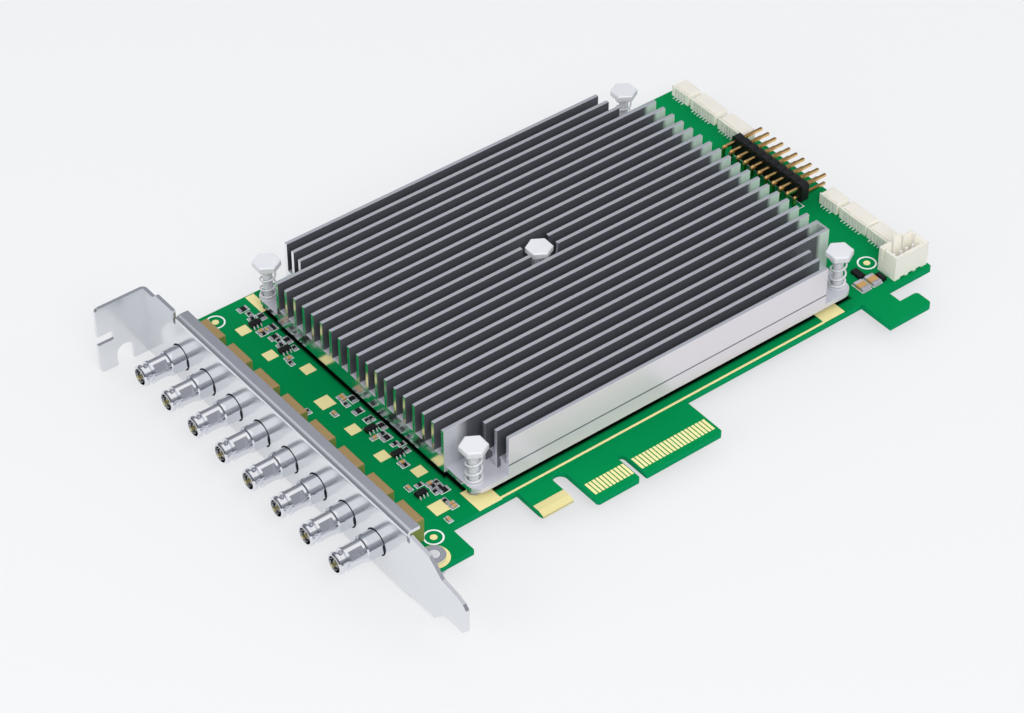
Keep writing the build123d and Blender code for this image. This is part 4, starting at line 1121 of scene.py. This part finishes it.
@dataclass
class SmallParts(Assembly):
    """The chips, resistors and capacitors beside the jacks."""

    nodes: ClassVar[Coats] = {"chip": ("chip_resistors", "suppressor_chips"),
                              "tan": ("chip_capacitors", "large_capacitors")}
    cap_lift: float = 0.02
    cap_foot: float = 0.002
    cap_outline: tuple[Pair, ...] = ((-1.0, 0.0), (0.55, 0.0), (0.28, 0.22), (0.1, 0.9), (0.0, 1.0), (-0.92, 1.0),
                                     (-1.0, 0.93))
    cap_levels: tuple[Pair, ...] = ((-0.5, 0.04), (-0.46, 0.0), (0.46, 0.0), (0.5, 0.04))
    body_draft: float = 0.12
    body_low: float = 0.12
    body_gap: float = 0.15
    lead_pitch: float = 0.95
    lead_width: float = 0.42
    lead_thickness: float = 0.16
    lead_rise: float = 0.5
    lead_root: float = 0.25
    lead_knees: Pair = (0.08, 0.2)
    lead_gap: float = 0.1
    lead_bend: float = 0.09
    foot: float = 0.45

    def refine(self) -> None:
        """Adds the metal ends, and the small chips' bodies and leads."""
        settle(self.metal_ends(self.finishes["solder"]), "tin", "chip_terminals")
        chips = solids_of("small_chips")
        settle(self.moulded_bodies(chips), "chip_black", "small_chips")
        settle(self.gull_wings(chips), "tin", "small_chips")

    def moulded_bodies(self, chips: list[Block]) -> Thing:
        """Makes the small chips' bodies, with drafted sides and a parting line.

        Args:
            chips: the boxes round the chips, leads and all.

        Returns:
            The bodies as one piece.
        """
        made = Former()
        for chip in chips:
            mid, rings = chip.middle, []
            for z, share in ((self.body_low, 1.0), (chip.high.z * 0.5, 0.0), (chip.high.z, 1.0)):
                half_x = chip.size.x / 2 - share * self.body_draft
                half_y = chip.size.y / 2 - self.foot - self.body_gap - share * self.body_draft
                rings.append([(x, y, z) for x, y in oblong(mid.x - half_x, mid.x + half_x, mid.y - half_y,
                                                           mid.y + half_y)])
            made.stack(rings)
        return made.piece("drafted_chip_bodies", self.finishes["chip"])

    def gull_wings(self, chips: list[Block]) -> Thing:
        """Bends the small chips' leads.

        Args:
            chips: the boxes round the chips, leads and all.

        Returns:
            The leads as one piece.
        """
        reach = chips[0].size.y / 2
        half = self.lead_thickness / 2
        inner = reach - self.foot - self.lead_gap
        shoulder, heel = (inner + knee for knee in self.lead_knees)
        line = rounded_path([(inner - self.lead_root, self.lead_rise), (shoulder, self.lead_rise), (heel, half),
                             (reach, half)], self.lead_bend)
        places, turns = [], []
        for chip in chips:
            for side in (-1, 1):
                for step in (-1, 0, 1):
                    places.append((chip.middle.x + step * self.lead_pitch, chip.middle.y, 0.0))
                    turns.append(side * math.pi / 2)
        return self.strips.bend("gull_wing_leads", line, places, self.finishes["tin"],
                                (self.lead_width, self.lead_thickness), turns)

    def metal_ends(self, tin: Material) -> Thing:
        """Makes the soldered ends of the resistors and capacitors.

        Args:
            tin: the ends' finish.

        Returns:
            The ends as one piece.
        """
        former = Former()
        former.stack([[(x * (1 - inset) / MM, y / MM, z * (1 - inset) / MM) for x, z in self.cap_outline]
                      for y, inset in self.cap_levels])
        shape = former.piece("cap_shape", tin)
        places, spans, turns = [], [], []
        for chip, ends in two_ended_chips():
            for end in ends:
                out = end.middle - chip.middle
                along_x = abs(out.x) > abs(out.y)
                side = 1 if (out.x if along_x else out.y) > 0 else -1
                length, width = (end.size.x, end.size.y) if along_x else (end.size.y, end.size.x)
                edge_x = (end.high.x if side > 0 else end.low.x) if along_x else end.middle.x
                edge_y = end.middle.y if along_x else (end.high.y if side > 0 else end.low.y)
                places.append((edge_x, edge_y, self.cap_foot))
                spans.append(metres((length, width + 2 * self.cap_lift, end.size.z + self.cap_lift)))
                turns.append((0.0 if side > 0 else math.pi) + (0.0 if along_x else math.pi / 2))
        piece = end_cap_tree().run("metal_ends", places, tin, {"Shape": shape}, {"span": spans, "turn": turns})
        bpy.data.objects.remove(shape)
        return piece


# Studio

@dataclass(frozen=True)
class Lamp:
    """One soft square lamp that faces the card, in millimetres and watts."""

    name: str
    at: Point
    side: float
    power: float
    aim: Point = (20.0, 50.0, 0.0)

    def hang(self) -> None:
        """Hangs the lamp, which mirrors don't show."""
        light = bpy.data.lights.new(self.name, "AREA")
        light.shape = "SQUARE"
        light.size = self.side * MM
        light.energy = self.power
        holder = linked(self.name, light)
        holder.location = Vector(self.at) * MM
        holder.rotation_euler = (Vector(self.aim) - Vector(self.at)).to_track_quat("-Z", "Y").to_euler()
        holder.visible_glossy = False


@dataclass
class Studio:
    """The floor, the light and the camera."""

    background: Colour = (243, 245, 248)
    camera_at: Point = (-322.2, -366.56, 465.95)
    camera_to: Point = (1.46, 47.94, 0.0)
    focal: float = 109.94
    sensor: float = 36.0
    sight: Pair = (0.01, 20.0)
    floor_drop: float = 0.05
    floor_side: float = 6000.0
    floor_albedo: Colour = (132, 132, 132)
    floor_tint: Colour = (243, 244, 246)
    floor_glow: float = 0.68
    room: Colour = (206, 209, 214)
    room_bands: tuple[tuple[float, Colour], ...] = (
        (0.0, (238, 240, 243)), (0.04, (108, 110, 118)), (0.4, (112, 114, 122)), (0.55, (156, 158, 165)),
        (0.7, (160, 162, 169)), (0.77, (255, 255, 255)), (1.0, (255, 255, 255)))
    lamps: tuple[Lamp, ...] = (
        Lamp("key_lamp", (-200.0, -500.0, 560.0), 420.0, 3.3),
        Lamp("fill_lamp", (520.0, -260.0, 420.0), 520.0, 1.2),
        Lamp("back_lamp", (120.0, 620.0, 520.0), 480.0, 0.8),
        Lamp("left_lamp", (-620.0, 80.0, 240.0), 460.0, 2.1))

    def build(self) -> None:
        """Sets up the whole studio and shows colours as they are."""
        bpy.context.scene.view_settings.view_transform = "Standard"
        self.lay_floor()
        self.light_world()
        for lamp in self.lamps:
            lamp.hang()
        self.place_camera()

    def lay_floor(self) -> None:
        """Lays the pale floor under the card."""
        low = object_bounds()[0].z - self.floor_drop * MM
        half = self.floor_side * MM / 2
        mesh = bpy.data.meshes.new("floor")
        mesh.from_pydata([(x, y, low) for x, y in oblong(-half, half, -half, half)], [], [(0, 1, 2, 3)])
        material = bpy.data.materials.new("pale_floor")
        w = fresh(material)
        path = w.add("ShaderNodeLightPath")
        seen = w.maths("MAXIMUM", path.outputs["Is Camera Ray"],
                       w.maths("MAXIMUM", path.outputs["Is Glossy Ray"], path.outputs["Is Transmission Ray"]))
        matt = w.add("ShaderNodeBsdfDiffuse", {"Color": linear(self.floor_albedo)})
        glow = w.add("ShaderNodeEmission", {"Color": linear(self.floor_tint),
                                            "Strength": w.maths("MULTIPLY", seen, self.floor_glow)})
        both = w.add("ShaderNodeAddShader", {0: matt.outputs[0], 1: glow.outputs[0]})
        w.add("ShaderNodeOutputMaterial", {"Surface": both.outputs[0]})
        mesh.materials.append(material)
        floor = linked("floor", mesh)
        floor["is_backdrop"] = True

    def light_world(self) -> None:
        """Makes the pale surroundings, with bands of tone where metal mirrors them."""
        world = bpy.data.worlds.new("pale_room")
        bpy.context.scene.world = world
        w = fresh(world)
        path = w.add("ShaderNodeLightPath")
        way = w.add("ShaderNodeSeparateXYZ", {0: w.add("ShaderNodeTexCoord").outputs["Generated"]})
        bands = w.add("ShaderNodeValToRGB", {0: way.outputs[2]})
        ramp = bands.color_ramp.elements
        for place, tone in self.room_bands[1:-1]:
            ramp.new(place).color = linear(tone)
        for end in (0, -1):
            ramp[end].position = self.room_bands[end][0]
            ramp[end].color = linear(self.room_bands[end][1])
        seen = w.maths("MAXIMUM", path.outputs["Is Glossy Ray"], path.outputs["Is Transmission Ray"])
        dim = w.blend(seen, linear(self.room), bands.outputs[0])
        plain = w.blend(path.outputs["Is Camera Ray"], dim, linear(self.background))
        light = w.add("ShaderNodeBackground", {"Color": plain, "Strength": 1.0})
        w.add("ShaderNodeOutputWorld", {"Surface": light.outputs[0]})

    def place_camera(self) -> None:
        """Puts the camera at the photograph's viewing angle."""
        lens = bpy.data.cameras.new("camera")
        lens.sensor_fit = "HORIZONTAL"
        lens.sensor_width = self.sensor
        lens.lens = self.focal
        lens.clip_start, lens.clip_end = self.sight
        holder = linked("camera", lens)
        holder.location = Vector(self.camera_at) * MM
        aim = (Vector(self.camera_to) - Vector(self.camera_at)).to_track_quat("-Z", "Y")
        holder.rotation_euler = Euler(aim.to_euler())
        bpy.context.scene.camera = holder


def main() -> None:
    """Builds the studio and then each sub-assembly."""
    logging.basicConfig(level=logging.INFO, format="%(name)s: %(message)s")
    Studio().build()
    finishes = Finishes()
    strips = StripBender()
    for part in (PrintedBoard, SlotBracket, CoaxRow, FinnedSink, SprungBolts, PinHeader, SideEntryRow, BoxHeader,
                 SmallParts):
        part(finishes, strips).build()


if __name__ == "__main__":
    main()
